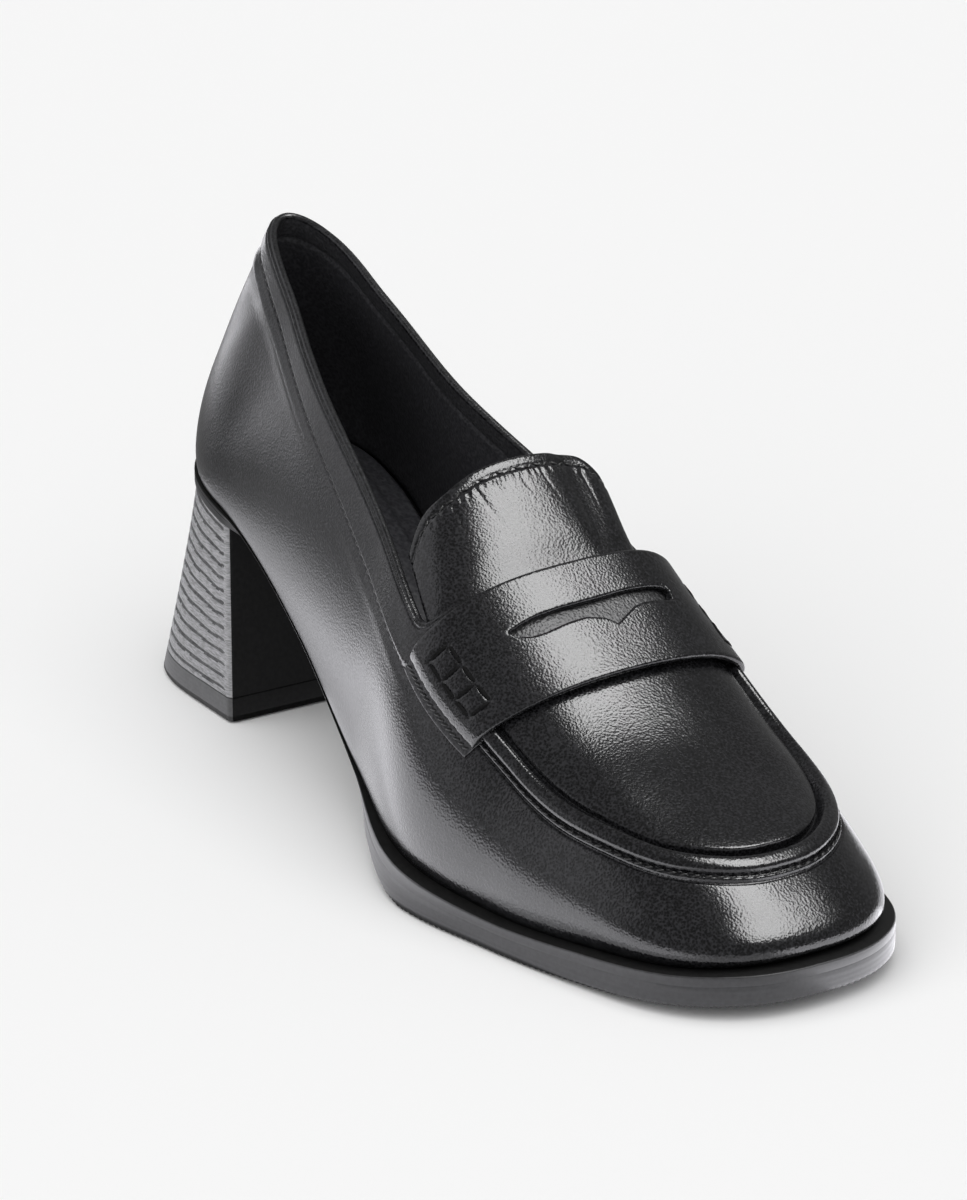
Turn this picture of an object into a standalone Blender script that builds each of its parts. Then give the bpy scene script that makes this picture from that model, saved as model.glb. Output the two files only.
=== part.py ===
"""Block heel penny loafer, one right shoe, built as separate leather, sole and heel pieces.

The shoe stands on z = 0 with the toe towards +X and the medial side towards +Y.
Sizes and tables are in millimetres, and the meshes are in metres.
"""

import bpy
import numpy as np

MM = 0.001
COLLECTION = "block_heel_penny_loafer"

# Main sizes.
FEATHER_LENGTH = 232.4
HEEL_CAP_LENGTH = 29.5
HEEL_CAP_POWER = 2.1
TOE_CAP_LENGTH = 46.0
TOE_CAP_POWER = 2.6
CREST_BACK = 27.0
CREST_TOE_GAP = 34.0
LEATHER = 1.8
GAP = 0.3

# The last, a row per section: where the section stands, its axis, the half widths to the lateral and
# medial feather, the feather height, the powers of the wall profile (how each side leans in, and how
# it rises), and the swell of the wall.
LAST_COLUMNS = (
    "x", "axis", "lateral", "medial", "feather", "lean_lateral", "lean_medial", "rise_power", "swell",
)
LAST = np.array((
    (0.0, 2.0, 22.4, 23.6, 56.6, 0.72, 0.72, 1.5, 2.2),
    (40.0, 1.4, 23.4, 23.2, 49.1, 1.03, 0.65, 1.5, 2.2),
    (75.0, 0.8, 27.1, 19.7, 35.6, 1.75, 1.2, 1.9, 2.1),
    (110.0, 0.8, 32.7, 26.5, 16.8, 2.5, 2.5, 2.3, 2.1),
    (145.0, 1.2, 41.8, 35.5, 10.1, 3.0, 3.0, 2.3, 1.1),
    (175.0, 2.2, 37.9, 38.3, 7.2, 3.0, 3.0, 2.3, 1.1),
    (205.0, 3.7, 32.8, 35.1, 8.5, 3.0, 3.0, 2.3, 1.1),
    (232.4, 5.9, 33.4, 32.1, 10.5, 3.0, 3.0, 2.3, 1.1),
))

# The crest, where the lateral and medial walls meet over the instep and the apron.
CREST_COLUMNS = ("x", "y", "z")
CREST = np.array((
    (0.0, 7.5, 150.0),
    (60.0, 5.0, 132.0),
    (100.0, 3.6, 101.5),
    (120.0, 4.2, 90.2),
    (145.0, 5.5, 68.6),
    (165.0, 5.6, 53.6),
    (185.0, 5.4, 43.3),
    (205.0, 5.3, 34.7),
))

# The collar edge, a row per station of the feather line.
COLLAR_COLUMNS = ("x", "lateral", "medial")
COLLAR = np.array((
    (0.0, 115.2, 115.2),
    (18.0, 110.1, 110.1),
    (45.0, 100.4, 100.4),
    (80.0, 87.2, 87.2),
    (112.0, 73.2, 73.0),
    (130.0, 64.6, 64.8),
    (140.0, 59.2, 59.5),
))
COLLAR_END = 136.0
THROAT = 163.0

# The raised apron seam, as a share of the way up each wall.
SEAM_COLUMNS = ("x", "lateral", "medial")
SEAM = np.array((
    (135.0, 0.5, 0.53),
    (170.0, 0.492, 0.515),
    (195.0, 0.488, 0.49),
    (214.0, 0.55, 0.55),
    (232.4, 0.67, 0.67),
))
SEAM_START = 158.0
SEAM_FULL = 172.0
SEAM_HEIGHT = 1.9
SEAM_HALF_WIDTH = 0.035
SEAM_BEHIND_COLLAR = 0.8

# The outsole, a row per station: overhang past the feather line and height of the bottom.
SOLE_COLUMNS = ("x", "rim", "bottom")
SOLE = np.array((
    (0.0, 1.0, 53.2),
    (40.0, 0.8, 45.8),
    (75.0, 0.7, 32.2),
    (110.0, 1.2, 12.5),
    (130.0, 2.4, 3.4),
    (147.0, 3.5, 0.0),
    (186.0, 3.6, 0.0),
    (208.0, 3.8, 1.1),
    (232.4, 4.6, 3.0),
))
FLAT_FROM, FLAT_TO = 147.0, 186.0
# The outsole's side from top to bottom: share of the thickness, and how far that edge is set in.
SOLE_SIDE_COLUMNS = ("share", "inset")
SOLE_SIDE = np.array((
    (0.0, 0.6),
    (0.06, 0.0),
    (0.2, 0.0),
    (0.24, 0.5),
    (0.31, 0.5),
    (0.35, 0.0),
    (0.93, 0.0),
    (1.0, 0.5),
))

# The insole's inset from the feather line along the foot, and its thickness.
INSOLE_COLUMNS = ("x", "inset")
INSOLE = np.array(((0.0, 2.6), (150.0, 2.6), (200.0, 3.4), (232.4, 5.0)))
INSOLE_THICKNESS = 2.0

# The heel, at the seat and on the floor.
HEEL_COLUMNS = ("back", "breast", "half_width", "back_power")
HEEL_SEAT = (0.4, 33.5, 23.0, 2.2)
HEEL_FLOOR = (-10.0, 38.5, 25.8, 2.79)
HEEL_AXIS = 1.6
HEEL_BACK_DEPTH = 31.0
HEEL_CORNER = 1.6
HEEL_FLARE_POWER = 1.15
TOP_PIECE = 6.0

# The tongue and the saddle strap, by the place along the crest. A sweep bends an edge back at the sides.
# The tongue's top edge, by the share across from the lateral (-1) to the medial side (1).
TONGUE_EDGE_COLUMNS = ("across", "x")
TONGUE_EDGE = np.array((
    (-1.0, 120.5), (-0.85, 119.2), (-0.5, 121.2), (0.0, 121.8), (0.3, 122.2), (0.6, 124.5), (1.0, 131.0),
))
TONGUE_FRONT = 157.0
TONGUE_SHOULDER = 5.5
TONGUE_THICKNESS = 1.5
TONGUE_GAP = 0.5
TONGUE_DIP = 0.8
TONGUE_LOW_ROW = 0.5
STRAP_REAR, STRAP_FRONT = 144.0, 168.0
STRAP_REAR_SWEEP, STRAP_FRONT_SWEEP = -19.0, -22.0
STRAP_END_ROW = 0.375
STRAP_THICKNESS = 1.8
STRAP_LIFT = 0.9
SLOT_PLACE, SLOT_HALF_OPEN, SLOT_REACH = 0.4, 0.06, 0.38

HALF_COLUMNS = 46
WALL_ROWS = (0.0, 0.14, 0.31, 0.52, 0.76)
ROOF_ROWS = (0.14, 0.3, 0.47, 0.65, 0.83, 1.0)
SEAM_ROWS = (-1.0, -0.5, 0.0, 0.5, 1.0)


def curve(x, table, column):
    """Smooth value of one table column at x: a cubic between rows, with averaged slopes at them."""
    xs, ys = table[:, 0], table[:, column]
    step = np.diff(ys) / np.diff(xs)
    slope = np.empty_like(ys)
    slope[1:-1] = (step[:-1] * np.diff(xs)[1:] + step[1:] * np.diff(xs)[:-1]) / (xs[2:] - xs[:-2])
    slope[0], slope[-1] = step[0], step[-1]
    x = np.clip(np.asarray(x, float), xs[0], xs[-1])
    i = np.clip(np.searchsorted(xs, x, side="right") - 1, 0, len(xs) - 2)
    width = xs[i + 1] - xs[i]
    t = (x - xs[i]) / width
    rising = ys[i] * (1 + 2 * t) * (1 - t) ** 2 + ys[i + 1] * t * t * (3 - 2 * t)
    return rising + width * (slope[i] * t * (1 - t) ** 2 - slope[i + 1] * t * t * (1 - t))


def smooth(x, start, end):
    t = np.clip((np.asarray(x, float) - start) / (end - start), 0.0, 1.0)
    return t * t * (3 - 2 * t)


def end_caps(x):
    """Share of the full half width left at x, where the rounded heel and toe close the outline."""
    heel = np.clip((HEEL_CAP_LENGTH - x) / HEEL_CAP_LENGTH, 0.0, 1.0)
    toe = np.clip((x - FEATHER_LENGTH + TOE_CAP_LENGTH) / TOE_CAP_LENGTH, 0.0, 1.0)
    round_heel = (1 - heel ** HEEL_CAP_POWER) ** (1 / HEEL_CAP_POWER)
    return round_heel * (1 - toe ** TOE_CAP_POWER) ** (1 / TOE_CAP_POWER)


def ends_of(u):
    """Feather point and crest point of each column. u runs 0 to -1 on the lateral side and 0 to 1 on the medial."""
    u = (np.asarray(u, float) + 1) % 2 - 1
    x = FEATHER_LENGTH * (0.5 - 0.5 * np.cos(np.pi * np.abs(u)))
    half = np.where(u < 0, -curve(x, LAST, 2), curve(x, LAST, 3)) * end_caps(x)
    feather = np.stack((x, curve(x, LAST, 1) + half, curve(x, LAST, 4)), -1)
    crest_x = CREST_BACK + (FEATHER_LENGTH - CREST_BACK - CREST_TOE_GAP) * x / FEATHER_LENGTH
    crest = np.stack((crest_x, curve(crest_x, CREST, 1), curve(crest_x, CREST, 2)), -1)
    return feather, crest


def last_point(u, v):
    """Point of the last: a superellipse wall from the feather (v = 0) to the crest (v = 1).

    The wall swells outwards low down, and near the toe it reaches the crest along the crest's own slope.
    """
    u, v = np.broadcast_arrays(np.asarray(u, float), np.asarray(v, float))
    feather, crest = ends_of(u)
    x = feather[..., 0]
    angle = np.pi / 2 * np.clip(v, 0.0, 1.0)
    lateral = (u + 1) % 2 < 1
    lean_power = np.where(lateral, curve(x, LAST, 5), curve(x, LAST, 6))
    inward = 1 - np.clip(np.cos(angle), 0.0, 1.0) ** (2 / lean_power)
    upward = np.sin(angle) ** (2 / curve(x, LAST, 7))
    way = crest - feather
    run = np.hypot(way[..., 0], way[..., 1])
    crest_x = crest[..., 0]
    slope = (curve(crest_x + 1, CREST, 2) - curve(crest_x - 1, CREST, 2)) / 2
    lean = slope * way[..., 0] * np.clip((x - 60) / 60, 0.0, 1.0)
    flat = inward - curve(x, LAST, 8) / run * np.sin(np.pi * upward ** 0.6)
    height = (way[..., 2] - lean) * upward + lean * inward
    return feather + np.stack((way[..., 0] * flat, way[..., 1] * flat, height), -1)


def last_normal(u, v, step=2e-3):
    """Unit normal out of the last, the same from both sides on the crest."""
    u, v = np.broadcast_arrays(np.asarray(u, float), np.asarray(v, float))

    def one_side(u):
        up = last_point(u, np.clip(v + step, 0, 1)) - last_point(u, np.clip(v - step, 0, 1))
        along = last_point(u + step, v) - last_point(u - step, v)
        normal = np.cross(up, along)
        return normal / np.linalg.norm(normal, axis=-1, keepdims=True)

    both = one_side(u)
    both = np.where((v > 0.995)[..., None], both + one_side(-u), both)
    return both / np.linalg.norm(both, axis=-1, keepdims=True)


def on_last(u, v, out):
    """Point at a distance out of the last's surface."""
    return last_point(u, v) + np.asarray(out, float)[..., None] * last_normal(u, v)


def column_of(x):
    """|u| of the column whose feather point stands at x."""
    return np.arccos(np.clip(1 - 2 * np.asarray(x, float) / FEATHER_LENGTH, -1, 1)) / np.pi


def column_through(x, v):
    """|u| of the column that stands at x when it has risen to v."""
    inward = 1 - np.cos(np.pi / 2 * np.clip(v, 0, 1)) ** (2 / curve(x, LAST, 5))
    scale = (FEATHER_LENGTH - CREST_BACK - CREST_TOE_GAP) / FEATHER_LENGTH
    return column_of((x - inward * CREST_BACK) / (1 - inward + inward * scale))


def row_at_height(u, height):
    """v at which each column reaches a height."""
    rows = np.linspace(0, 1, 121)
    heights = last_point(u[:, None], rows[None])[..., 2]
    return np.array([np.interp(z, column, rows) for z, column in zip(height, heights)])


def top_row(u):
    """v of the upper's top edge: the collar, then a throat that rises to the crest under the strap."""
    x = ends_of(u)[0][..., 0]
    height = np.where(u < 0, curve(x, COLLAR, 1), curve(x, COLLAR, 2))
    collar = row_at_height(u, height)
    return collar + (1 - collar) * smooth(x, COLLAR_END, THROAT)


def seam_row(u):
    """v of the apron seam ahead of the strap, and a row under the collar behind it."""
    x = ends_of(u)[0][..., 0]
    apron = np.where(u < 0, curve(x, SEAM, 1), curve(x, SEAM, 2))
    share = smooth(x, 100.0, 145.0)
    return (1 - share) * SEAM_BEHIND_COLLAR * top_row(u) + share * np.minimum(apron, 0.9 * top_row(u))


def seam_lift(u, v):
    """Height of the rolled apron seam above the leather."""
    x = ends_of(u)[0][..., 0]
    across = (v - np.where(u < 0, curve(x, SEAM, 1), curve(x, SEAM, 2))) / SEAM_HALF_WIDTH
    return SEAM_HEIGHT * smooth(x, SEAM_START, SEAM_FULL) * np.clip(1 - across ** 2, 0, 1)


def add_object(name, points, faces, colour, roughness):
    """One closed mesh object in metres with its own material."""
    mesh = bpy.data.meshes.new(name)
    mesh.from_pydata((points * MM).tolist(), [], faces)
    mesh.validate()
    mesh.update()
    made = bpy.data.objects.new(name, mesh)
    bpy.data.collections[COLLECTION].objects.link(made)
    material = bpy.data.materials.new(name)
    material.use_nodes = True
    shader = material.node_tree.nodes["Principled BSDF"]
    shader.inputs["Base Color"].default_value = (*colour, 1.0)
    shader.inputs["Roughness"].default_value = roughness
    mesh.materials.append(material)
    return made


def sheet(name, outer, inner, faces, colour, roughness):
    """Leather sheet: an outer and an inner skin of the same faces, joined by a rim along every free edge."""
    count = len(outer)
    edges = {}
    for face in faces:
        for a, b in zip(face, face[1:] + face[:1]):
            edges[(a, b)] = True
    rims = [[b, a, a + count, b + count] for a, b in edges if (b, a) not in edges]
    backs = [[i + count for i in reversed(face)] for face in faces]
    return add_object(name, np.concatenate((outer, inner)), faces + backs + rims, colour, roughness)


def grid_faces(index):
    """Quads over a grid of vertex numbers, without those that have collapsed to a line."""
    faces = []
    for i in range(index.shape[0] - 1):
        for j in range(index.shape[1] - 1):
            face = [index[i, j], index[i + 1, j], index[i + 1, j + 1], index[i, j + 1]]
            face = [int(n) for k, n in enumerate(face) if n != face[k - 1]]
            if len(face) > 2:
                faces.append(face)
    return faces


def stack(name, rings, colour, roughness):
    """Solid of rings from top to bottom. Each ring runs from the back round one side and home by the other."""
    levels, count = len(rings), len(rings[0])
    index = np.arange(levels * count).reshape(levels, count)
    index = np.concatenate((index, index[:, :1]), axis=1)
    sides = grid_faces(index)
    half = count // 2
    lids = []
    for level, turn in ((0, True), (levels - 1, False)):
        ring = index[level]
        for i in range(half):
            face = [ring[i], ring[(count - i) % count], ring[count - i - 1], ring[i + 1]]
            face = [int(n) for k, n in enumerate(face) if n != face[k - 1]]
            if len(face) > 2:
                lids.append(face[::-1] if turn else face)
    return add_object(name, np.concatenate(rings), sides + lids, colour, roughness)


def turn_out(made):
    """Turns the mesh's faces outwards when its signed volume is negative."""
    mesh = made.data
    mesh.calc_loop_triangles()
    points = np.array([v.co for v in mesh.vertices])
    faces = np.array([t.vertices for t in mesh.loop_triangles])
    if np.linalg.det(points[faces]).sum() < 0:
        mesh.flip_normals()


def loop_columns():
    """u of every column, from the heel along the lateral side to the toe and back along the medial side."""
    side = np.linspace(0, 1, HALF_COLUMNS + 1)
    return np.concatenate((-side, side[-2:0:-1]))


def plan_ring(offset):
    """Feather line moved outwards in plan by the offset of each column."""
    feather = ends_of(loop_columns())[0]
    along = np.roll(feather, -1, axis=0) - np.roll(feather, 1, axis=0)
    out = np.stack((along[:, 1], -along[:, 0]), -1)
    out = out / np.linalg.norm(out, axis=1, keepdims=True)
    if (out[:, 1] * (feather[:, 1] - feather[:, 1].mean())).sum() < 0:
        out = -out
    return feather[:, :2] + out * np.broadcast_to(offset, len(feather))[:, None], feather[:, 0]


def sole_bottom(x):
    flat = (x >= FLAT_FROM) & (x <= FLAT_TO)
    return np.where(flat, 0.0, np.maximum(curve(x, SOLE, 2), 0.0))


def make_upper():
    """Vamp, quarters and apron as one hollow wall, open at the collar and under the foot."""
    u = loop_columns()
    top, seam = top_row(u), seam_row(u)
    closed = ends_of(u)[0][:, 0] >= THROAT
    room = np.minimum(SEAM_HALF_WIDTH, 0.45 * (top - seam))
    rows = [seam * f - room * f for f in WALL_ROWS]
    rows += [seam + room * f for f in SEAM_ROWS]
    rows += [seam + room + (top - seam - room) * f for f in ROOF_ROWS]
    v = np.stack(rows, axis=1)
    v[:, -1] = np.where(closed, 1.0, v[:, -1])
    u_grid = np.broadcast_to(u[:, None], v.shape)
    outer = on_last(u_grid, v, seam_lift(u_grid, v))
    inner = on_last(u_grid, v, np.full(v.shape, -LEATHER))
    inner[:, 0, 2] = outer[:, 0, 2]
    index = np.arange(v.size).reshape(v.shape)
    mirror = (len(u) - np.arange(len(u))) % len(u)
    medial = np.arange(len(u)) > HALF_COLUMNS
    index[:, -1] = np.where(closed & medial, index[mirror, -1], index[:, -1])
    index = np.concatenate((index, index[:1]))
    used, inverse = np.unique(index, return_inverse=True)
    faces = grid_faces(inverse.reshape(index.shape))
    outer, inner = outer.reshape(-1, 3)[used], inner.reshape(-1, 3)[used]
    return sheet("upper", outer, inner, faces, (0.012, 0.012, 0.013), 0.35)


def across_rows(low, count):
    """Side and row of points from the low lateral row over the crest to the low medial row."""
    a = np.linspace(-1, 1, count)
    return np.where(a <= 0, -1.0, 1.0), 1 - np.abs(a) * (1 - low), a


def tongue_shoulder(x, v, side):
    """Sideways step of the tongue's medial half, which makes its top broad. It is gone where the strap holds it."""
    across = smooth(1 - v, 0.0, 0.16) * (1 - smooth(1 - v, 0.26, 0.43))
    step = TONGUE_SHOULDER * across * (1 - smooth(x, 121.0, 144.0)) * (side > 0)
    return step[..., None] * np.array((0.0, 1.0, 0.0))


def make_tongue():
    """Tongue of the apron: it lies inside the throat and rises above the strap, with rounded corners."""
    side, v, a = across_rows(TONGUE_LOW_ROW, 21)
    along = np.linspace(0, 1, 11)[:, None]
    x = curve(a, TONGUE_EDGE, 1) * (1 - along) + TONGUE_FRONT * along
    v = np.broadcast_to(v, x.shape)
    u = side * column_through(x, v)
    depth = LEATHER + TONGUE_GAP + TONGUE_DIP * smooth(x, STRAP_REAR - 8, STRAP_REAR)
    shoulder = tongue_shoulder(x, v, side)
    top, under = on_last(u, v, -depth) + shoulder, on_last(u, v, -depth - TONGUE_THICKNESS) + shoulder
    faces = grid_faces(np.arange(x.size).reshape(x.shape))
    return sheet("tongue", top.reshape(-1, 3), under.reshape(-1, 3), faces, (0.014, 0.014, 0.015), 0.35)


def make_strap():
    """Saddle strap over the apron, with the slot cut through it across the crest."""
    side, v, a = across_rows(STRAP_END_ROW, 33)
    slot = SLOT_HALF_OPEN * np.sqrt(np.clip(1 - (a / SLOT_REACH) ** 2, 0.02, 1))
    shares = [np.full(a.shape, s) for s in (0.0, 0.12, 0.26)]
    shares += [SLOT_PLACE - slot, SLOT_PLACE + slot]
    shares += [np.full(a.shape, s) for s in (0.56, 0.72, 0.88, 1.0)]
    shares = np.stack(shares)
    rear = STRAP_REAR + STRAP_REAR_SWEEP * (1 - v) ** 2
    front = STRAP_FRONT + STRAP_FRONT_SWEEP * (1 - v) ** 2
    x = rear + (front - rear) * shares
    v = np.broadcast_to(v, x.shape)
    u = side * column_through(x, v)
    lift = GAP + STRAP_LIFT * np.broadcast_to(1 - np.abs(a) ** 6, x.shape) + 1.2 * seam_lift(u, v)
    outer, inner = on_last(u, v, lift + STRAP_THICKNESS), on_last(u, v, lift)
    index = np.arange(x.size).reshape(x.shape)
    inside = np.abs(a) < SLOT_REACH
    faces = grid_faces(index[:4])
    for i in np.flatnonzero(~(inside[:-1] & inside[1:])):
        faces += grid_faces(index[3:5, i:i + 2])
    faces += grid_faces(index[4:])
    return sheet("saddle_strap", outer.reshape(-1, 3), inner.reshape(-1, 3), faces, (0.012, 0.012, 0.013), 0.33)


def make_outsole():
    """Outsole with the arch, toe spring and overhanging rim, and a groove along its side."""
    x = ends_of(loop_columns())[0][:, 0]
    rings = []
    for share, inset in SOLE_SIDE:
        plan, _ = plan_ring(curve(x, SOLE, 1) - inset)
        top = curve(plan[:, 0], LAST, 4) - GAP
        height = top + (sole_bottom(plan[:, 0]) - top) * share
        rings.append(np.column_stack((plan, height)))
    return stack("outsole", rings, (0.05, 0.05, 0.05), 0.6)


def make_insole():
    """Insole board inside the upper, on the outsole."""
    x = ends_of(loop_columns())[0][:, 0]
    rings = []
    for rise, inset in ((1.0, 0.4), (0.75, 0.0), (0.0, 0.0)):
        plan, _ = plan_ring(-curve(x, INSOLE, 1) - inset)
        rings.append(np.column_stack((plan, curve(plan[:, 0], LAST, 4) + rise * INSOLE_THICKNESS)))
    return stack("insole", rings, (0.02, 0.02, 0.02), 0.7)


def heel_plan(share, inset=0.0):
    """Heel outline in plan at a share of the way from the seat to the floor."""
    back, breast, half, power = np.array(HEEL_SEAT) + (np.array(HEEL_FLOOR) - HEEL_SEAT) * share
    back, breast, half = back + inset, breast - inset, half - inset
    angle = np.linspace(0, np.pi / 2, 17)
    x = back + HEEL_BACK_DEPTH * (1 - np.cos(angle) ** (2 / power))
    y = half * np.sin(angle) ** (2 / power)
    turn = np.linspace(0, np.pi / 2, 4)
    x = np.concatenate((x, breast - HEEL_CORNER + HEEL_CORNER * np.sin(turn)))
    y = np.concatenate((y, half - HEEL_CORNER + HEEL_CORNER * np.cos(turn)))
    x, y = np.concatenate((x, x[:0:-1])), np.concatenate((-y, y[:0:-1]))
    return np.column_stack((x, y + HEEL_AXIS))


def make_heel():
    """Stacked block heel, flared from the seat to the floor."""
    top_plan = heel_plan(0.0)
    top = np.column_stack((top_plan, sole_bottom(top_plan[:, 0]) - GAP))
    floor = TOP_PIECE + GAP
    share_at_floor = 1 - TOP_PIECE / HEEL_HEIGHT
    rings = []
    for level in np.linspace(0, 1, 9):
        plan = heel_plan(share_at_floor * level ** HEEL_FLARE_POWER)
        rings.append(np.column_stack((plan, top[:, 2] + (floor - top[:, 2]) * level)))
    return stack("heel_block", rings, (0.03, 0.03, 0.03), 0.6)


def make_top_piece():
    """Rubber top piece that stands on the floor under the heel."""
    share_at_top = 1 - TOP_PIECE / HEEL_HEIGHT
    rings = []
    for share, inset, height in ((share_at_top, 0.0, 1.0), (1.0, 0.0, 0.12), (1.0, 0.6, 0.0)):
        plan = heel_plan(share, inset)
        rings.append(np.column_stack((plan, np.full(len(plan), TOP_PIECE * height))))
    return stack("top_piece", rings, (0.02, 0.02, 0.02), 0.8)


HEEL_HEIGHT = float(curve(20.0, SOLE, 2)) - GAP


def centre(pieces):
    """Moves every mesh so that the middle of the shoe's box stands over the origin."""
    points = np.concatenate([np.array([v.co for v in piece.data.vertices]) for piece in pieces])
    low, high = points.min(axis=0), points.max(axis=0)
    shift = np.array((-(low[0] + high[0]) / 2, -(low[1] + high[1]) / 2, -low[2]))
    for piece in pieces:
        moved = np.array([v.co for v in piece.data.vertices]) + shift
        piece.data.vertices.foreach_set("co", moved.ravel())
        piece.data.update()
    print("shift in mm", np.round(shift / MM, 4), "box", np.round((high - low) / MM, 2))


def main():
    for old in list(bpy.data.objects):
        bpy.data.objects.remove(old, do_unlink=True)
    collection = bpy.data.collections.new(COLLECTION)
    bpy.context.scene.collection.children.link(collection)
    pieces = [make_upper(), make_tongue(), make_strap(), make_outsole(), make_insole(), make_heel(), make_top_piece()]
    for piece in pieces:
        turn_out(piece)
    centre(pieces)


main()
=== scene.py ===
# %% [markdown]
# # A block heel penny loafer, one right shoe
#
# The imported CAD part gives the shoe's real size and place. This lesson dresses it: every solid is
# replaced by a finer surface of the same form, with its seams, stitches, grain and gloss. All shapes
# are numpy functions of two parameters, worked out as whole arrays and then handed to Blender.

import bpy
import numpy as np
from mathutils import Matrix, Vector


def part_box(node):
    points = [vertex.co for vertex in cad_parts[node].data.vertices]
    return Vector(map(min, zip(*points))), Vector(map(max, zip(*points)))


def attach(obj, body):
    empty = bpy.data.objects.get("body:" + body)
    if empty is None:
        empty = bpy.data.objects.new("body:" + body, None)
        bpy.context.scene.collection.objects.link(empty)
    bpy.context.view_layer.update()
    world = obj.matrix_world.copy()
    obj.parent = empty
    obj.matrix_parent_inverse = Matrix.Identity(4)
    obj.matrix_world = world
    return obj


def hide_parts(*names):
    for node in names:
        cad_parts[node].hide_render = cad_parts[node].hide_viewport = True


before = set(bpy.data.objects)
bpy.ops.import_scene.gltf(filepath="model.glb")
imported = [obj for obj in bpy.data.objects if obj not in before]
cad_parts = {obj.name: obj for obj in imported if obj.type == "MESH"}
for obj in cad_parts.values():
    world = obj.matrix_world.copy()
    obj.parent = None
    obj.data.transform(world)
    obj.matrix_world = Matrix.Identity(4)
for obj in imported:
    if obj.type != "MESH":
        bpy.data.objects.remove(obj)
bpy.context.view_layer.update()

# %% [markdown]
# ## The frame of the last
#
# A shoe is drawn from its last, the foot-shaped form that the leather is pulled over. The tables below
# are in millimetres, from the back of the heel seat, as a last maker would note them. The CAD part is
# centred on its box instead, so the heel's top piece tells how far the two frames lie apart.

# %% Where the last stands in the frame
MM = 0.001
HEEL_FLOOR_BACK, HEEL_AXIS = -10.0, 1.6

piece_low, piece_high = (np.array(corner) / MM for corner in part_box("top_piece"))
SHIFT = np.array((piece_low[0] - HEEL_FLOOR_BACK, (piece_low[1] + piece_high[1]) / 2 - HEEL_AXIS, 0.0))
print("the last's origin is at", np.round(SHIFT, 3), "mm in the frame")

# %% [markdown]
# ## The last itself
#
# Each section of the last is a superellipse wall that rises from the feather line, where upper and sole
# meet, to the crest over the instep. A short table of sections and a smooth curve through each column
# are enough for the whole form, and the same function then carries every seam and stitch.

# %% Tables of the last
FEATHER_LENGTH = 232.4
HEEL_CAP_LENGTH, HEEL_CAP_POWER = 29.5, 2.1
TOE_CAP_LENGTH, TOE_CAP_POWER = 46.0, 2.6
CREST_BACK, CREST_TOE_GAP = 27.0, 34.0
LEATHER = 1.8


def table(labels, *rows):
    """Columns of a table as arrays, each under its own label."""
    return dict(zip(labels.split(), np.array(rows).T))


LAST = table(
    "x axis lateral medial feather lean_lateral lean_medial rise_power swell",
    (0.0, 2.0, 22.4, 23.6, 56.6, 0.72, 0.72, 1.5, 2.2),
    (40.0, 1.4, 23.4, 23.2, 49.1, 1.03, 0.65, 1.5, 2.2),
    (75.0, 0.8, 27.1, 19.7, 35.6, 1.75, 1.2, 1.9, 2.1),
    (110.0, 0.8, 32.7, 26.5, 16.8, 2.5, 2.5, 2.3, 2.1),
    (145.0, 1.2, 41.8, 35.5, 10.1, 3.0, 3.0, 2.3, 1.1),
    (175.0, 2.2, 37.9, 38.3, 7.2, 3.0, 3.0, 2.3, 1.1),
    (205.0, 3.7, 32.8, 35.1, 8.5, 3.0, 3.0, 2.3, 1.1),
    (232.4, 5.9, 33.4, 32.1, 10.5, 3.0, 3.0, 2.3, 1.1),
)
CREST = table(
    "x y z",
    (0.0, 7.5, 150.0),
    (60.0, 5.0, 132.0),
    (100.0, 3.6, 101.5),
    (120.0, 4.2, 90.2),
    (145.0, 5.5, 68.6),
    (165.0, 5.6, 53.6),
    (185.0, 5.4, 43.3),
    (205.0, 5.3, 34.7),
)
print(len(LAST["x"]), "sections and", len(CREST["x"]), "crest points")


# %% Curves through the tables
def curve(x, columns, label):
    """Smooth value of a table column at a place in the table's first column: a cubic between rows, with
    averaged slopes at them."""
    xs, ys = next(iter(columns.values())), columns[label]
    step = np.diff(ys) / np.diff(xs)
    slope = np.empty_like(ys)
    slope[1:-1] = (step[:-1] * np.diff(xs)[1:] + step[1:] * np.diff(xs)[:-1]) / (xs[2:] - xs[:-2])
    slope[0], slope[-1] = step[0], step[-1]
    x = np.clip(np.asarray(x, float), xs[0], xs[-1])
    i = np.clip(np.searchsorted(xs, x, side="right") - 1, 0, len(xs) - 2)
    width = xs[i + 1] - xs[i]
    t = (x - xs[i]) / width
    rising = ys[i] * (1 + 2 * t) * (1 - t) ** 2 + ys[i + 1] * t * t * (3 - 2 * t)
    return rising + width * (slope[i] * t * (1 - t) ** 2 - slope[i + 1] * t * t * (1 - t))


def smooth(x, start, end):
    """Rises from 0 at start to 1 at end: three times the square less twice the cube of the share between."""
    t = np.clip((np.asarray(x, float) - start) / (end - start), 0.0, 1.0)
    return t * t * (3 - 2 * t)


def hump(x, centre, width):
    """Bell of height 1: e to minus the square of the distance from the centre over the width."""
    return np.exp(-((x - centre) / width) ** 2)


print("sole seat at the heel stands", round(float(curve(0, LAST, "feather")), 1), "mm high")

# %% Surface of the last
CREST_SLOPE_STEP, CREST_LEAN_FROM, CREST_LEAN_OVER = 6.0, 60.0, 60.0
SWELL_LOW = 0.6


def wrapped(u):
    """u brought back to -1..1: lateral side below 0, medial side above 0, heel at 0 and toe at 1."""
    return (np.asarray(u, float) + 1) % 2 - 1


def station(u):
    """Where a column stands on the feather line: half the length times one minus the cosine of half a
    turn of u."""
    return FEATHER_LENGTH * (0.5 - 0.5 * np.cos(np.pi * np.abs(wrapped(u))))


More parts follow.
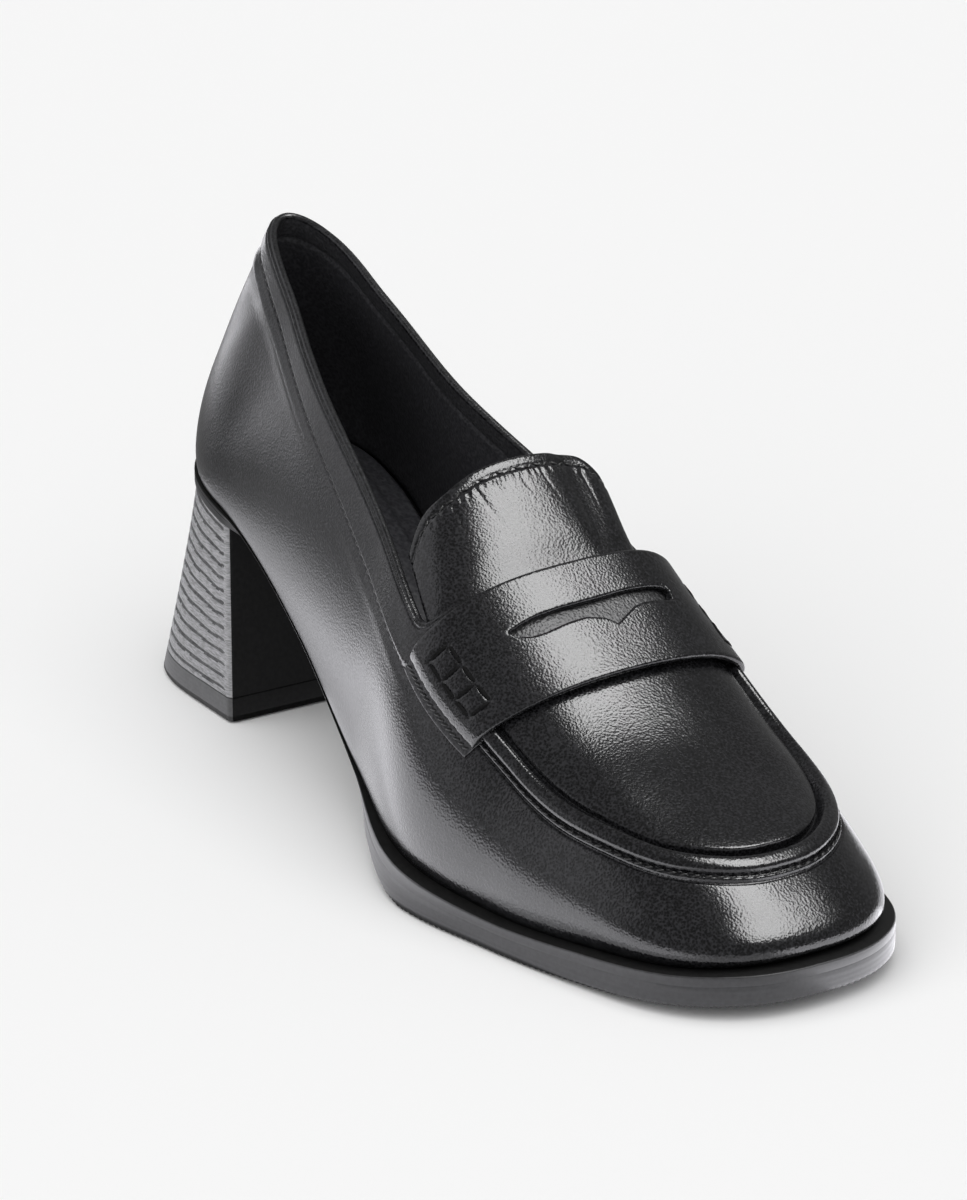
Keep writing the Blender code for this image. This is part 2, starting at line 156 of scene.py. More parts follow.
def by_side(u, x, columns, lateral="lateral", medial="medial"):
    """Value at x of one column of a table on the lateral side and of another on the medial side."""
    return np.where(wrapped(u) < 0, curve(x, columns, lateral), curve(x, columns, medial))


def end_caps(x):
    """Share of the half width left where the superellipses of heel and toe close the outline."""
    heel = np.clip((HEEL_CAP_LENGTH - x) / HEEL_CAP_LENGTH, 0.0, 1.0)
    toe = np.clip((x - FEATHER_LENGTH + TOE_CAP_LENGTH) / TOE_CAP_LENGTH, 0.0, 1.0)
    round_heel = (1 - heel ** HEEL_CAP_POWER) ** (1 / HEEL_CAP_POWER)
    return round_heel * (1 - toe ** TOE_CAP_POWER) ** (1 / TOE_CAP_POWER)


def ends_of(u):
    """Feather point and crest point of each column."""
    x = station(u)
    half = np.where(wrapped(u) < 0, -1.0, 1.0) * by_side(u, x, LAST) * end_caps(x)
    feather = np.stack((x, curve(x, LAST, "axis") + half, curve(x, LAST, "feather")), -1)
    crest_x = CREST_BACK + (FEATHER_LENGTH - CREST_BACK - CREST_TOE_GAP) * x / FEATHER_LENGTH
    crest = np.stack((crest_x, curve(crest_x, CREST, "y"), curve(crest_x, CREST, "z")), -1)
    return feather, crest


def last_point(u, v):
    """Point of the last: feather plus the way to the crest, its flat part and its height each a power of
    the cosine or sine of v quarter turns, with a swell low down and the crest's own slope near the toe."""
    u, v = np.broadcast_arrays(np.asarray(u, float), np.asarray(v, float))
    feather, crest = ends_of(u)
    x = feather[..., 0]
    angle = np.pi / 2 * np.clip(v, 0.0, 1.0)
    lean_power = by_side(u, x, LAST, "lean_lateral", "lean_medial")
    inward = 1 - np.clip(np.cos(angle), 0.0, 1.0) ** (2 / lean_power)
    upward = np.sin(angle) ** (2 / curve(x, LAST, "rise_power"))
    way = crest - feather
    run = np.hypot(way[..., 0], way[..., 1])
    ahead = curve(crest[..., 0] + CREST_SLOPE_STEP, CREST, "z")
    behind = curve(crest[..., 0] - CREST_SLOPE_STEP, CREST, "z")
    slope = (ahead - behind) / (2 * CREST_SLOPE_STEP)
    lean = slope * way[..., 0] * np.clip((x - CREST_LEAN_FROM) / CREST_LEAN_OVER, 0.0, 1.0)
    flat = inward - curve(x, LAST, "swell") / run * np.sin(np.pi * upward ** SWELL_LOW)
    height = (way[..., 2] - lean) * upward + lean * inward
    return feather + np.stack((way[..., 0] * flat, way[..., 1] * flat, height), -1)


print("toe point", np.round(last_point(1.0, 0.0), 1), "mm")


# %% Normals and lengths on the last
def unit(way):
    """Vectors brought to length 1."""
    return way / np.linalg.norm(way, axis=-1, keepdims=True)


def last_normal(u, v, step=2e-3):
    """Unit normal out of the last: the cross product of the steps up and along, shared on the crest."""
    u, v = np.broadcast_arrays(np.asarray(u, float), np.asarray(v, float))

    def one_side(u):
        up = last_point(u, np.clip(v + step, 0, 1)) - last_point(u, np.clip(v - step, 0, 1))
        return unit(np.cross(up, last_point(u + step, v) - last_point(u - step, v)))

    near_crest = smooth(v, 0.97, 1.0)[..., None] * 0.5
    return unit(one_side(u) * (1 - near_crest) + one_side(-u) * near_crest)


def on_last(u, v, out):
    """Point at a distance out of the last's surface, along its normal."""
    return last_point(u, v) + np.asarray(out, float)[..., None] * last_normal(u, v)


def row_length(u, v, step=1e-3):
    """Millimetres of wall for one unit of v."""
    return np.linalg.norm(last_point(u, v + step) - last_point(u, v - step), axis=-1) / (2 * step)


def length_along(line):
    """Millimetres from the first point of a line to each of its points."""
    return np.concatenate(([0.0], np.cumsum(np.linalg.norm(np.diff(line, axis=0), axis=1))))


def column_of(x):
    """|u| of the column whose feather point stands at x."""
    return np.arccos(np.clip(1 - 2 * np.asarray(x, float) / FEATHER_LENGTH, -1, 1)) / np.pi


def column_through(x, v):
    """|u| of the column that stands at x when it has risen to v."""
    inward = 1 - np.cos(np.pi / 2 * np.clip(v, 0, 1)) ** (2 / curve(x, LAST, "lean_lateral"))
    scale = (FEATHER_LENGTH - CREST_BACK - CREST_TOE_GAP) / FEATHER_LENGTH
    return column_of((x - inward * CREST_BACK) / (1 - inward + inward * scale))


print("instep crest", np.round(last_point(-column_of(150.0), 1.0), 1), "mm")


# %% [markdown]
# ## Meshes from arrays
#
# Every piece below is a grid of points, sometimes with points shared where two edges meet. One helper
# turns a grid of vertex numbers into faces, drops what has collapsed to a line, and hands the arrays to
# Blender in metres. It also rides the piece on the CAD body and hides the solid it stands for.

# %% Helpers for meshes
def cells(index):
    """Four corners of each cell of a grid of vertex numbers."""
    corners = (index[:-1, :-1], index[1:, :-1], index[1:, 1:], index[:-1, 1:])
    return np.stack(corners, -1).reshape(-1, 4)


def numbered(shape):
    """Grid of vertex numbers in reading order."""
    return np.arange(np.prod(shape)).reshape(shape)


def add_piece(name, points, quads, materials, node=None, which=None, sharp=None):
    """One mesh object in the CAD frame. A quad with two equal corners becomes a triangle."""
    same = quads == np.roll(quads, -1, axis=1)
    count = same.sum(axis=1)
    whole, thin = quads[count == 0], quads[count == 1][~same[count == 1]].reshape(-1, 3)
    used, inverse = np.unique(np.concatenate((whole.ravel(), thin.ravel())), return_inverse=True)
    whole, thin = inverse[:whole.size].reshape(-1, 4), inverse[whole.size:].reshape(-1, 3)
    mesh = bpy.data.meshes.new(name)
    placed = (np.asarray(points).reshape(-1, 3)[used] + SHIFT) * MM
    mesh.from_pydata(placed.tolist(), [], whole.tolist() + thin.tolist())
    for material in materials:
        mesh.materials.append(material)
    if which is not None:
        chosen = np.concatenate((which[count == 0], which[count == 1]))
        mesh.polygons.foreach_set("material_index", chosen.astype(np.int32))
    mesh.shade_smooth()
    if sharp:
        mesh.set_sharp_from_angle(angle=np.radians(sharp))
    mesh.update()
    piece = bpy.data.objects.new(name, mesh)
    bpy.context.scene.collection.objects.link(piece)
    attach(piece, "root")
    if node:
        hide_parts(node)
    print(name, len(whole) * 2 + len(thin), "triangles")


def side_columns(half):
    """u of a ring of columns: from the heel along the lateral side to the toe and home by the medial side."""
    side = np.linspace(0, 1, half + 1)
    return np.concatenate((-side, side[-2:0:-1]))


print("a ring of 2 columns a side has", len(cells(numbered((5, 2)))), "faces in each row")


# %% [markdown]
# ## Shader nodes
#
# A finish on a real shoe is never one flat colour. Noises and cells in the object's own coordinates give
# each one its small changes, with no picture to stretch or to seam. The helpers below only save typing:
# they make a node with its sockets set, a colour ramp, or a factor moved to another range.

# %% Shader helpers
def node_of(tree, kind, **values):
    """New shader node with some of its input sockets set by name."""
    node = tree.nodes.new(kind)
    for name, value in values.items():
        node.inputs[name.replace("_", " ")].default_value = value
    return node


def fresh_material(name):
    """Empty node material: its tree, its principled shader and the object coordinates."""
    material = bpy.data.materials.new(name)
    material.use_nodes = True
    tree = material.node_tree
    place = tree.nodes.new("ShaderNodeTexCoord").outputs["Object"]
    return material, tree, tree.nodes["Principled BSDF"], place


def texture(tree, place, kind, **values):
    """Texture node that reads the given coordinates."""
    node = node_of(tree, kind, **values)
    tree.links.new(place, node.inputs["Vector"])
    return node


def added(tree, first, second, share=1.0):
    """The first value times a share, plus the second."""
    node = tree.nodes.new("ShaderNodeMath")
    node.operation = "MULTIPLY_ADD"
    node.inputs[1].default_value = share
    tree.links.new(first, node.inputs[0])
    tree.links.new(second, node.inputs[2])
    return node.outputs[0]


def ramp(tree, factor, stops):
    """Colour ramp from (place, colour) stops, driven by a factor."""
    node = tree.nodes.new("ShaderNodeValToRGB")
    for (place, colour), element in zip(stops, node.color_ramp.elements):
        element.position, element.color = place, (*colour, 1.0)
    tree.links.new(factor, node.inputs["Fac"])
    return node.outputs["Color"]


def spread(tree, factor, low, high):
    """A 0 to 1 factor moved to low..high."""
    node = node_of(tree, "ShaderNodeMapRange", To_Min=low, To_Max=high)
    tree.links.new(factor, node.inputs["Value"])
    return node.outputs["Result"]


def bumped(tree, shader, height, strength, distance):
    """Bump from a height on the shader's normal. The bumped normal is given back."""
    bump = node_of(tree, "ShaderNodeBump", Strength=strength, Distance=distance)
    tree.links.new(height, bump.inputs["Height"])
    tree.links.new(bump.outputs["Normal"], shader.inputs["Normal"])
    return bump.outputs["Normal"]


print("shader helpers ready")

# %% [markdown]
# ## Leather
#
# The real upper is smooth black calf with a fine pebble grain and a polish that mirrors the light in
# crisp patches. The grain could be a picture, but a cell pattern in the object's own coordinates follows
# every piece with no seams. It is a bump of well under a tenth of a millimetre. The tops of the grain are
# a little lighter, a slow noise moves the tone, and the quarters are duller than the toe.

# %% Leather material
FINE_SHARE, SLOW_SHARE, SLOW_SCALE = 0.4, 0.25, 38.0
GRAIN_RELIEF, GLOSS_SPREAD = 0.6, 0.05
SHADE_FROM, SHADE_TO = 0.55, 1.0
DULL_UP_TO, POLISHED_FROM = -0.02, 0.05


def duller_back(tree, place, more):
    """Roughness to add behind the instep, where a shoe is polished less than at its toe. It fades along x."""
    apart = tree.nodes.new("ShaderNodeSeparateXYZ")
    tree.links.new(place, apart.inputs[0])
    fade = node_of(
        tree, "ShaderNodeMapRange", From_Min=DULL_UP_TO, From_Max=POLISHED_FROM, To_Min=more, To_Max=0.0)
    fade.interpolation_type = "SMOOTHSTEP"
    tree.links.new(apart.outputs["X"], fade.inputs["Value"])
    return fade.outputs["Result"]


def leather(name, dark, light, rough, grain, cell, coat, dull=0.0):
    """Grained leather: cells of the given size for the grain, a fine noise over them and in the gloss, and
    a slow noise in the tone."""
    material, tree, shader, place = fresh_material(name)
    pebble = texture(tree, place, "ShaderNodeTexVoronoi", Scale=1 / cell, Randomness=1.0)
    pebble.feature = "SMOOTH_F1"
    fine = texture(tree, place, "ShaderNodeTexNoise", Scale=0.9 / cell, Detail=3.0, Roughness=0.6)
    slow = texture(tree, place, "ShaderNodeTexNoise", Scale=SLOW_SCALE, Detail=2.0)
    height = added(tree, fine.outputs["Fac"], pebble.outputs["Distance"], FINE_SHARE)
    normal = bumped(tree, shader, height, grain, GRAIN_RELIEF * cell)
    shade = added(tree, slow.outputs["Fac"], height, SLOW_SHARE)
    tone = ramp(tree, shade, ((SHADE_FROM, dark), (SHADE_TO, light)))
    tree.links.new(tone, shader.inputs["Base Color"])
    gloss = spread(tree, fine.outputs["Fac"], rough - GLOSS_SPREAD, rough + GLOSS_SPREAD)
    gloss = added(tree, gloss, duller_back(tree, place, dull))
    tree.links.new(gloss, shader.inputs["Roughness"])
    shader.inputs["IOR"].default_value = 1.4
    shader.inputs["Coat Weight"].default_value = coat
    shader.inputs["Coat Roughness"].default_value = 0.16
    tree.links.new(normal, shader.inputs["Coat Normal"])
    return material


# %% Leathers of the shoe
def grey(value, blue=1.1):
    """Neutral tone with a slightly stronger blue."""
    return (value, value, value * blue)


BLACK, SOFT_BLACK = (0.0015, 0.0015, 0.0018), grey(0.020)
upper_leather = leather(
    "upper_leather", BLACK, SOFT_BLACK, rough=0.18, grain=0.17, cell=0.0005, coat=0.12, dull=0.14)
tongue_leather = leather(
    "tongue_leather", BLACK, SOFT_BLACK, rough=0.20, grain=0.20, cell=0.0005, coat=0.12)
strap_leather = leather(
    "strap_leather", BLACK, SOFT_BLACK, rough=0.20, grain=0.21, cell=0.0005, coat=0.12)
edge_leather = leather(
    "edge_leather", grey(0.010), (0.030, 0.030, 0.032), rough=0.42, grain=0.4, cell=0.0006, coat=0.05)
lining_leather = leather(
    "lining_leather", (0.024, 0.024, 0.027), (0.048, 0.048, 0.053),
    rough=0.6, grain=0.3, cell=0.0007, coat=0.0)
facing_leather = leather(
    "facing_leather", (0.022, 0.022, 0.024), (0.046, 0.046, 0.050),
    rough=0.5, grain=0.3, cell=0.0006, coat=0.0)
print("leathers made")

# %% [markdown]
# ## The upper
#
# Vamp, quarters and apron are one hollow wall. The collar's edge is folded over a soft core and held by
# a stitch line, with a ridge of pushed-up leather behind it. In front, the apron is closed by a rolled
# seam: a round bead, a groove on the plug's side and a stitched strip outside. All of it is a relief in
# millimetres over the last, a sum of humps of the distance from the collar or from the seam.

# %% Collar and seam lines
COLLAR = table(
    "x lateral medial stitch_depth",
    (0.0, 115.2, 115.2, 5.6),
    (18.0, 110.1, 110.1, 5.8),
    (45.0, 100.4, 100.4, 6.9),
    (80.0, 87.2, 87.2, 9.0),
    (112.0, 73.2, 73.0, 11.0),
    (130.0, 64.6, 64.8, 11.0),
    (140.0, 59.2, 59.5, 10.8),
)
COLLAR_END, THROAT = 136.0, 163.0
SEAM = table(
    "x lateral medial",
    (135.0, 0.5, 0.53),
    (170.0, 0.492, 0.515),
    (195.0, 0.488, 0.49),
    (214.0, 0.55, 0.55),
    (232.4, 0.67, 0.67),
)
SEAM_START, SEAM_FULL = 151.0, 166.0
JUST_BELOW_TOP = 0.04
HALVINGS = 24


def row_at_height(u, height):
    """v at which each column reaches a height, by halving the interval."""
    low, high = np.zeros(np.shape(u)), np.ones(np.shape(u))
    for _ in range(HALVINGS):
        middle = (low + high) / 2
        above = last_point(u, middle)[..., 2] > height
        low, high = np.where(above, low, middle), np.where(above, middle, high)
    return (low + high) / 2


def top_row(u):
    """v of the upper's top edge: the collar, then a throat that rises to the crest under the strap."""
    x = station(u)
    collar = row_at_height(u, by_side(u, x, COLLAR))
    return collar + (1 - collar) * smooth(x, COLLAR_END, THROAT)


def seam_row(u):
    """v of the apron seam."""
    return by_side(u, station(u), SEAM)


def below_collar(u, v):
    """Millimetres below the collar edge."""
    top = top_row(u)
    return (top - v) * row_length(u, top - JUST_BELOW_TOP)


def stitch_row(u):
    """v of the collar's stitch line."""
    top = top_row(u)
    return top - curve(station(u), COLLAR, "stitch_depth") / row_length(u, top - JUST_BELOW_TOP)


def from_seam(u, v):
    """Millimetres from the apron seam, more than 0 on the plug."""
    row = seam_row(u)
    return (v - row) * row_length(u, row)


stitch_depth = COLLAR["stitch_depth"]
print("stitch line", stitch_depth.min(), "to", stitch_depth.max(), "mm below the collar")

# %% Relief of the apron seam
BEAD_HEIGHT, BEAD_HALF_WIDTH = 2.1, 2.3
BEAD_FOOT, BEAD_FOOT_WIDTH, BEAD_FOOT_DEPTH = -BEAD_HALF_WIDTH - 0.1, 0.3, 0.35
GROOVE_PLACE, GROOVE_WIDTH, GROOVE_DEPTH = 2.75, 0.5, 1.2
STRIP_RISE, STRIP_CREASE, STRIP_CREASE_WIDTH, STRIP_CREASE_DEPTH = 0.5, -4.1, 0.4, 0.45
PLUG_PUFF, PLUG_PUFF_REACH = 0.1, 6.0
PLUG_DIP, PLUG_DIP_PLACE, PLUG_DIP_WIDTH = 1.1, 185.0, 13.0
PLUG_TURN_UP, PLUG_TURN_FROM, PLUG_TURN_OVER, PLUG_EDGE = 1.15, 195.0, 17.0, 0.8


def bead(s):
    """Rolled seam with a flattened top: the root of one less the cube of the distance over the half width."""
    return BEAD_HEIGHT * np.sqrt(np.clip(1 - np.abs(s / BEAD_HALF_WIDTH) ** 3, 0, 1))


def seam_share(u):
    """How far the seam has risen from under the strap."""
    return smooth(station(u), SEAM_START, SEAM_FULL)


def plug_relief(u, v, s):
    """The plug inside the seam: a thin puff along it, a hollow in front of the strap, and leather that
    levels out towards the toe by the square of the distance."""
    place = last_point(u, v)[..., 0]
    inward = np.clip((v - seam_row(u)) / (1 - seam_row(u)), 0, 1)
    puff = PLUG_PUFF * smooth(s, GROOVE_PLACE, PLUG_PUFF_REACH) * (1 - smooth(inward, 0.2, 0.8))
    dip = PLUG_DIP * hump(place, PLUG_DIP_PLACE, PLUG_DIP_WIDTH) * smooth(inward, 0.25, 0.9)
    turn_up = PLUG_TURN_UP * (np.clip(place - PLUG_TURN_FROM, 0.0, None) / PLUG_TURN_OVER) ** 2
    return puff - dip + turn_up * smooth(s, GROOVE_PLACE, GROOVE_PLACE + PLUG_EDGE)


def seam_relief(u, v):
    """Bead, plug, the half sine of the stitched strip, and the sunken lines: the groove on the plug's side,
    the bead's foot and the strip's outer crease, all by the distance from the seam."""
    s = from_seam(u, v)
    strip_share = np.clip((s - STRIP_CREASE) / (-BEAD_HALF_WIDTH - STRIP_CREASE), 0, 1)
    raised = bead(s) + STRIP_RISE * np.sin(np.pi * strip_share) + plug_relief(u, v, s)
    groove = GROOVE_DEPTH * hump(s, GROOVE_PLACE, GROOVE_WIDTH)
    foot = BEAD_FOOT_DEPTH * hump(s, BEAD_FOOT, BEAD_FOOT_WIDTH)
    crease = STRIP_CREASE_DEPTH * hump(s, STRIP_CREASE, STRIP_CREASE_WIDTH)
    return seam_share(u) * (raised - groove - foot - crease)


print("bead stands", BEAD_HEIGHT, "mm high beside a groove of", GROOVE_DEPTH, "mm")

# %% Relief of collar, creases and toe
ROLL = LEATHER / 2
BAND_RISE, BAND_END = 0.5, (-0.5, 0.15)
EDGE_LINE, EDGE_LINE_WIDTH, EDGE_LINE_DEPTH = 1.9, 0.35, 0.3
GULLY, GULLY_WIDTH, GULLY_DEPTH = 0.35, 0.5, 0.35
RIDGE, RIDGE_WIDTH, RIDGE_FRONT, RIDGE_BACK = 3.4, 1.6, 0.10, 0.45
RIDGE_FADE, COLLAR_FADE = (30.0, 85.0), (134.0, 150.0)
TOE_SWELL, TOE_FROM, TOE_FULL = 1.0, 190.0, 222.0
# Each crease: x, z, slope, length, width, depth.
CREASES = (
    (20.0, 92.0, 1.1, 16.0, 5.0, 0.55),
    (34.0, 74.0, 0.7, 18.0, 7.0, 0.35),
)


def collar_relief(u, v):
    """A flat folded band that steps down at its stitch line, a thin line along the edge, and a soft ridge
    below that fades forwards, by the distance below the collar edge."""
    x = station(u)
    d, stitch = below_collar(u, v), curve(x, COLLAR, "stitch_depth")
    band = BAND_RISE * (1 - smooth(d, stitch + BAND_END[0], stitch + BAND_END[1]))
    band = band - EDGE_LINE_DEPTH * hump(d, EDGE_LINE, EDGE_LINE_WIDTH)
    gully = GULLY_DEPTH * hump(d, stitch + GULLY, GULLY_WIDTH)
    ridge = RIDGE_FRONT + RIDGE_BACK * (1 - smooth(x, *RIDGE_FADE))
    ridge = ridge * hump(d, stitch + RIDGE, RIDGE_WIDTH)
    return (1 - smooth(x, *COLLAR_FADE)) * smooth(d, ROLL, ROLL + 0.5) * (band + ridge - gully)


def crease_relief(u, v):
    """Soft troughs on the lateral wall: a bell across each crease times a bell along it."""
    place = last_point(u, v)
    total = np.zeros(place.shape[:-1])
    for x, z, slope, length, width, depth in CREASES:
        turn = np.arctan(slope)
        right, up = place[..., 0] - x, place[..., 2] - z
        along = right * np.cos(turn) + up * np.sin(turn)
        across = up * np.cos(turn) - right * np.sin(turn)
        total = total - depth * hump(along, 0, length) * hump(across, 0, width)
    return total * (wrapped(u) < 0)


def toe_relief(u, v):
    """Low swell round the toe, where the lasted leather bulges over the sole's rim."""
    low_wall = smooth(v, 0.0, 0.07) * (1 - smooth(v, 0.10, 0.38))
    return TOE_SWELL * smooth(station(u), TOE_FROM, TOE_FULL) * low_wall


def upper_relief(u, v):
    """The whole relief of the upper's outer face, in millimetres."""
    return seam_relief(u, v) + collar_relief(u, v) + crease_relief(u, v) + toe_relief(u, v)


print(len(CREASES), "creases on the quarter, collar roll", 2 * ROLL, "mm thick")

# %% [markdown]
# ## The upper as one closed mesh
#
# A real upper has a thickness, so its mesh has an outer face, a half round rim at the collar and an inner
# face with a facing and a lining. A solidify modifier could thicken one face, but the facing's step and
# the rolled rim would be lost. Rows are packed close round the seam and the stitch line, where the relief
# is fine. In front of the throat the two walls share their points along the crest.

# %% Rows of the upper
HALF_COLUMNS = 250
LOW_ROWS, FINE_ROWS, ROOF_ROWS, RIM_ROWS, INNER_ROWS = 30, 64, 34, 7, 30
FINE_REACH = 7.0
FACING, PAST_FACING = 6.5, 2.0
SOLE_GAP = 0.3

u = side_columns(HALF_COLUMNS)
columns = len(u)
x = station(u)
closed = x >= THROAT
top = np.where(closed, 1.0, top_row(u))
edge = np.where(closed, 1.0, top - ROLL / row_length(u, top - JUST_BELOW_TOP / 2))
back_middle = top - curve(x, COLLAR, "stitch_depth") / row_length(u, top - JUST_BELOW_TOP)
share = smooth(x, 126.0, 152.0)
middle = back_middle * (1 - share) + np.minimum(seam_row(u), top - 0.05) * share
reach = np.minimum(FINE_REACH / row_length(u, middle), 0.8 * (edge - middle))
low_part = np.linspace(0, 1, LOW_ROWS + 1)[:-1]
fine_part = np.linspace(-1, 1, FINE_ROWS + 1)[:-1]
roof_part = 1 - (1 - np.linspace(0, 1, ROOF_ROWS)) ** 1.5
v = np.concatenate((
    (middle - reach)[:, None] * low_part,
    middle[:, None] + reach[:, None] * fine_part,
    (middle + reach)[:, None] + (edge - middle - reach)[:, None] * roof_part,
), axis=1)
outer = on_last(u[:, None], v, upper_relief(u[:, None], v))
outer[:, 0, 2] -= SOLE_GAP * 0.8
print("upper has", columns, "columns of", v.shape[1], "rows outside")

# %% Rim and inside of the upper
LINING_STEP, FACING_LINE = 0.35, 0.3


def inside_depth(u, v):
    """Depth of the inner face: the facing's thickness, then a step down to the lining where it isn't over
    the tongue."""
    d = below_collar(u, v)
    step = LINING_STEP * (1 - smooth(station(u), 100.0, 125.0))
    return LEATHER + step * smooth(d, FACING, FACING + 0.7) - FACING_LINE * hump(d, FACING, 0.5)


edge_point = last_point(u, edge)[:, None]
edge_normal = last_normal(u, edge)[:, None]
edge_way = unit(last_point(u, edge) - last_point(u, edge - 2e-3))[:, None]
angle = np.linspace(0, np.pi, RIM_ROWS + 2)[1:-1, None]
rim = edge_point - ROLL * edge_normal + ROLL * (np.cos(angle) * edge_normal + np.sin(angle) * edge_way)
facing_share = np.minimum((FACING + PAST_FACING) / row_length(u, edge - JUST_BELOW_TOP), 0.6 * edge)
inner_part = np.linspace(0, 1, INNER_ROWS)
near = np.clip(inner_part / 0.5, 0, 1)
far = np.clip((inner_part - 0.5) / 0.5, 0, 1)
v_inner = edge[:, None] - facing_share[:, None] * near - (edge - facing_share)[:, None] * far
inner = on_last(u[:, None], v_inner, -inside_depth(u[:, None], v_inner))
inner[:, -1, 2] = outer[:, 0, 2]
print("collar roll is", 2 * ROLL, "mm thick, facing", FACING, "mm deep")

# %% One closed mesh of the upper
skin = np.concatenate((outer, rim, inner), axis=1)
index = numbered(skin.shape[:2])
mirror = (columns - np.arange(columns)) % columns
medial = np.arange(columns) > HALF_COLUMNS
outer_rows, inner_start = v.shape[1], v.shape[1] + RIM_ROWS
rows = np.arange(skin.shape[1])
at_crest = (rows >= outer_rows - 1) & (rows <= inner_start)
index = np.where((closed & medial)[:, None] & at_crest[None], index[mirror], index)
ring = np.concatenate((index, index[:1]))
open_side = np.concatenate((~closed, ~closed[:1]))
at_opening = open_side[:-1] | open_side[1:]
rim_cells = cells(ring[:, outer_rows - 1:inner_start + 1]).reshape(columns, -1, 4)[at_opening].reshape(-1, 4)
outside = np.concatenate((cells(ring[:, :outer_rows]), rim_cells))
inside = cells(ring[:, inner_start:])
bottom = cells(np.stack((ring[:, -1], ring[:, 0]), 1))
on_facing = inner_part[:-1] < 0.5 * FACING / (FACING + PAST_FACING)
on_facing = on_facing[None] & ~closed[:, None]
which = np.concatenate((
    np.zeros(len(outside), int), np.where(on_facing.ravel(), 2, 1), np.ones(len(bottom), int)))
add_piece("upper_skin", skin, np.concatenate((outside, inside, bottom)),
          (upper_leather, lining_leather, facing_leather), "upper", which)


# %% [markdown]
# ## Leather sheets with soft edges
#
# Tongue and strap are cut sheets. Two skins that close over the free edge by a rounded profile give a
# sheet with a soft rim and no extra edge strip. The half thickness grows from nothing at the edge, as a
# superellipse of the distance from it, and the two skins share the points of the edge itself.

# %% Sheet helper
EDGE_POWER = 2.4


def half_thickness(distance, thickness, rounding):
    """Half of the thickness, rounded over the given width next to the edge."""
    left = 1 - np.clip(distance / rounding, 0, 1)
    return thickness / 2 * (1 - left ** EDGE_POWER) ** (1 / EDGE_POWER)


def sheet_piece(name, u, v, middle, half, quads, material, slot, node=None, shift=0.0):
    """Two skins of one grid, at the middle height plus and minus the half thickness. They meet where it
    is 0."""
    top = (on_last(u, v, middle + half) + shift).reshape(-1, 3)
    under = (on_last(u, v, middle - half) + shift).reshape(-1, 3)
    count = len(top)
    under_index = np.where(half.ravel() < 1e-6, np.arange(count), np.arange(count) + count)
    both = np.concatenate((quads, under_index[quads][:, ::-1]))
    add_piece(name, np.concatenate((top, under)), both, (material,), node)


def packed_steps(count, edge_steps):
    """0 to 1 with the given small steps next to both ends and even steps between."""
    start = np.array(edge_steps)
    return np.concatenate((start, np.linspace(start[-1], 1 - start[-1], count)[1:-1], 1 - start[::-1]))


def signed_side(a):
    """Side and CAD share of a place across the crest: the share is |a| to the power 1.5, which spaces rows
    evenly."""
    return np.where(a <= 0, -1.0, 1.0), np.abs(a) ** 1.5


print("packed steps", np.round(packed_steps(4, (0.0, 0.1)), 2))

# %% [markdown]
# ## The tongue
#
# The apron's rear end lies under the strap and stands up above it with big rounded corners. Its leather
# is bunched along the edge, so short wrinkles run away from the top edge. They are listed as a small
# table of troughs. A crown and a valley beside it give the broad highlight, and a line of whip
# stitches follows the edge.

# %% Places on the tongue
TONGUE_EDGE = table(
    "across x",
    (-1.0, 120.5), (-0.85, 119.2), (-0.5, 121.2), (0.0, 121.8), (0.3, 122.2), (0.6, 124.5), (1.0, 131.0),
)
TONGUE_TOP, TONGUE_FRONT, TONGUE_LOW_ROW, TONGUE_SHOULDER = 121.0, 157.0, 0.5, 5.5
STRAP_REAR, STRAP_FRONT = 144.0, 168.0


def tongue_x(a, along):
    """Place along the crest, from the curved top edge to the front."""
    side, share = signed_side(a)
    return curve(side * share, TONGUE_EDGE, "x") * (1 - along) + TONGUE_FRONT * along


def on_tongue(a, along):
    """Column and row of a place on the tongue."""
    side, share = signed_side(a)
    rows = 1 - share * (1 - TONGUE_LOW_ROW)
    return side * column_through(tongue_x(a, along), rows), rows


def tongue_shoulder(a, along):
    """Sideways step of the tongue's medial half, which makes its top broad. It is gone where the strap
    holds it."""
    side, share = signed_side(a)
    down = share * (1 - TONGUE_LOW_ROW)
    across = smooth(down, 0.0, 0.16) * (1 - smooth(down, 0.26, 0.43)) * (side > 0)
    step = TONGUE_SHOULDER * across * (1 - smooth(tongue_x(a, along), TONGUE_TOP, STRAP_REAR))
    return step[..., None] * np.array((0.0, 1.0, 0.0))


print("tongue stands", round(STRAP_REAR - TONGUE_TOP, 1), "mm out of the strap")

# %% Depth of the tongue
TONGUE_THICKNESS, TONGUE_GAP, TONGUE_DIP, TONGUE_DIP_RUN = 1.5, 0.5, 0.8, 8.0
TONGUE_STITCH, TONGUE_PITCH, TONGUE_SIDE_LENGTH, TONGUE_LENGTH = 2.4, 2.3, 38.0, 40.0
STITCH_LINE_DEPTH, PUCKER, PUCKER_PLACE, PUCKER_WIDTH = 0.4, 0.08, 1.1, 0.9
VALLEY_PLACE, VALLEY_STEEP, VALLEY_GENTLE, VALLEY_DEPTH = 0.34, 0.07, 0.16, 0.9
CROWN_PLACE, CROWN_WIDTH, CROWN_RISE = 0.02, 0.3, 0.7
WRINKLE_FROM, WRINKLE_FULL = 2.0, 4.5
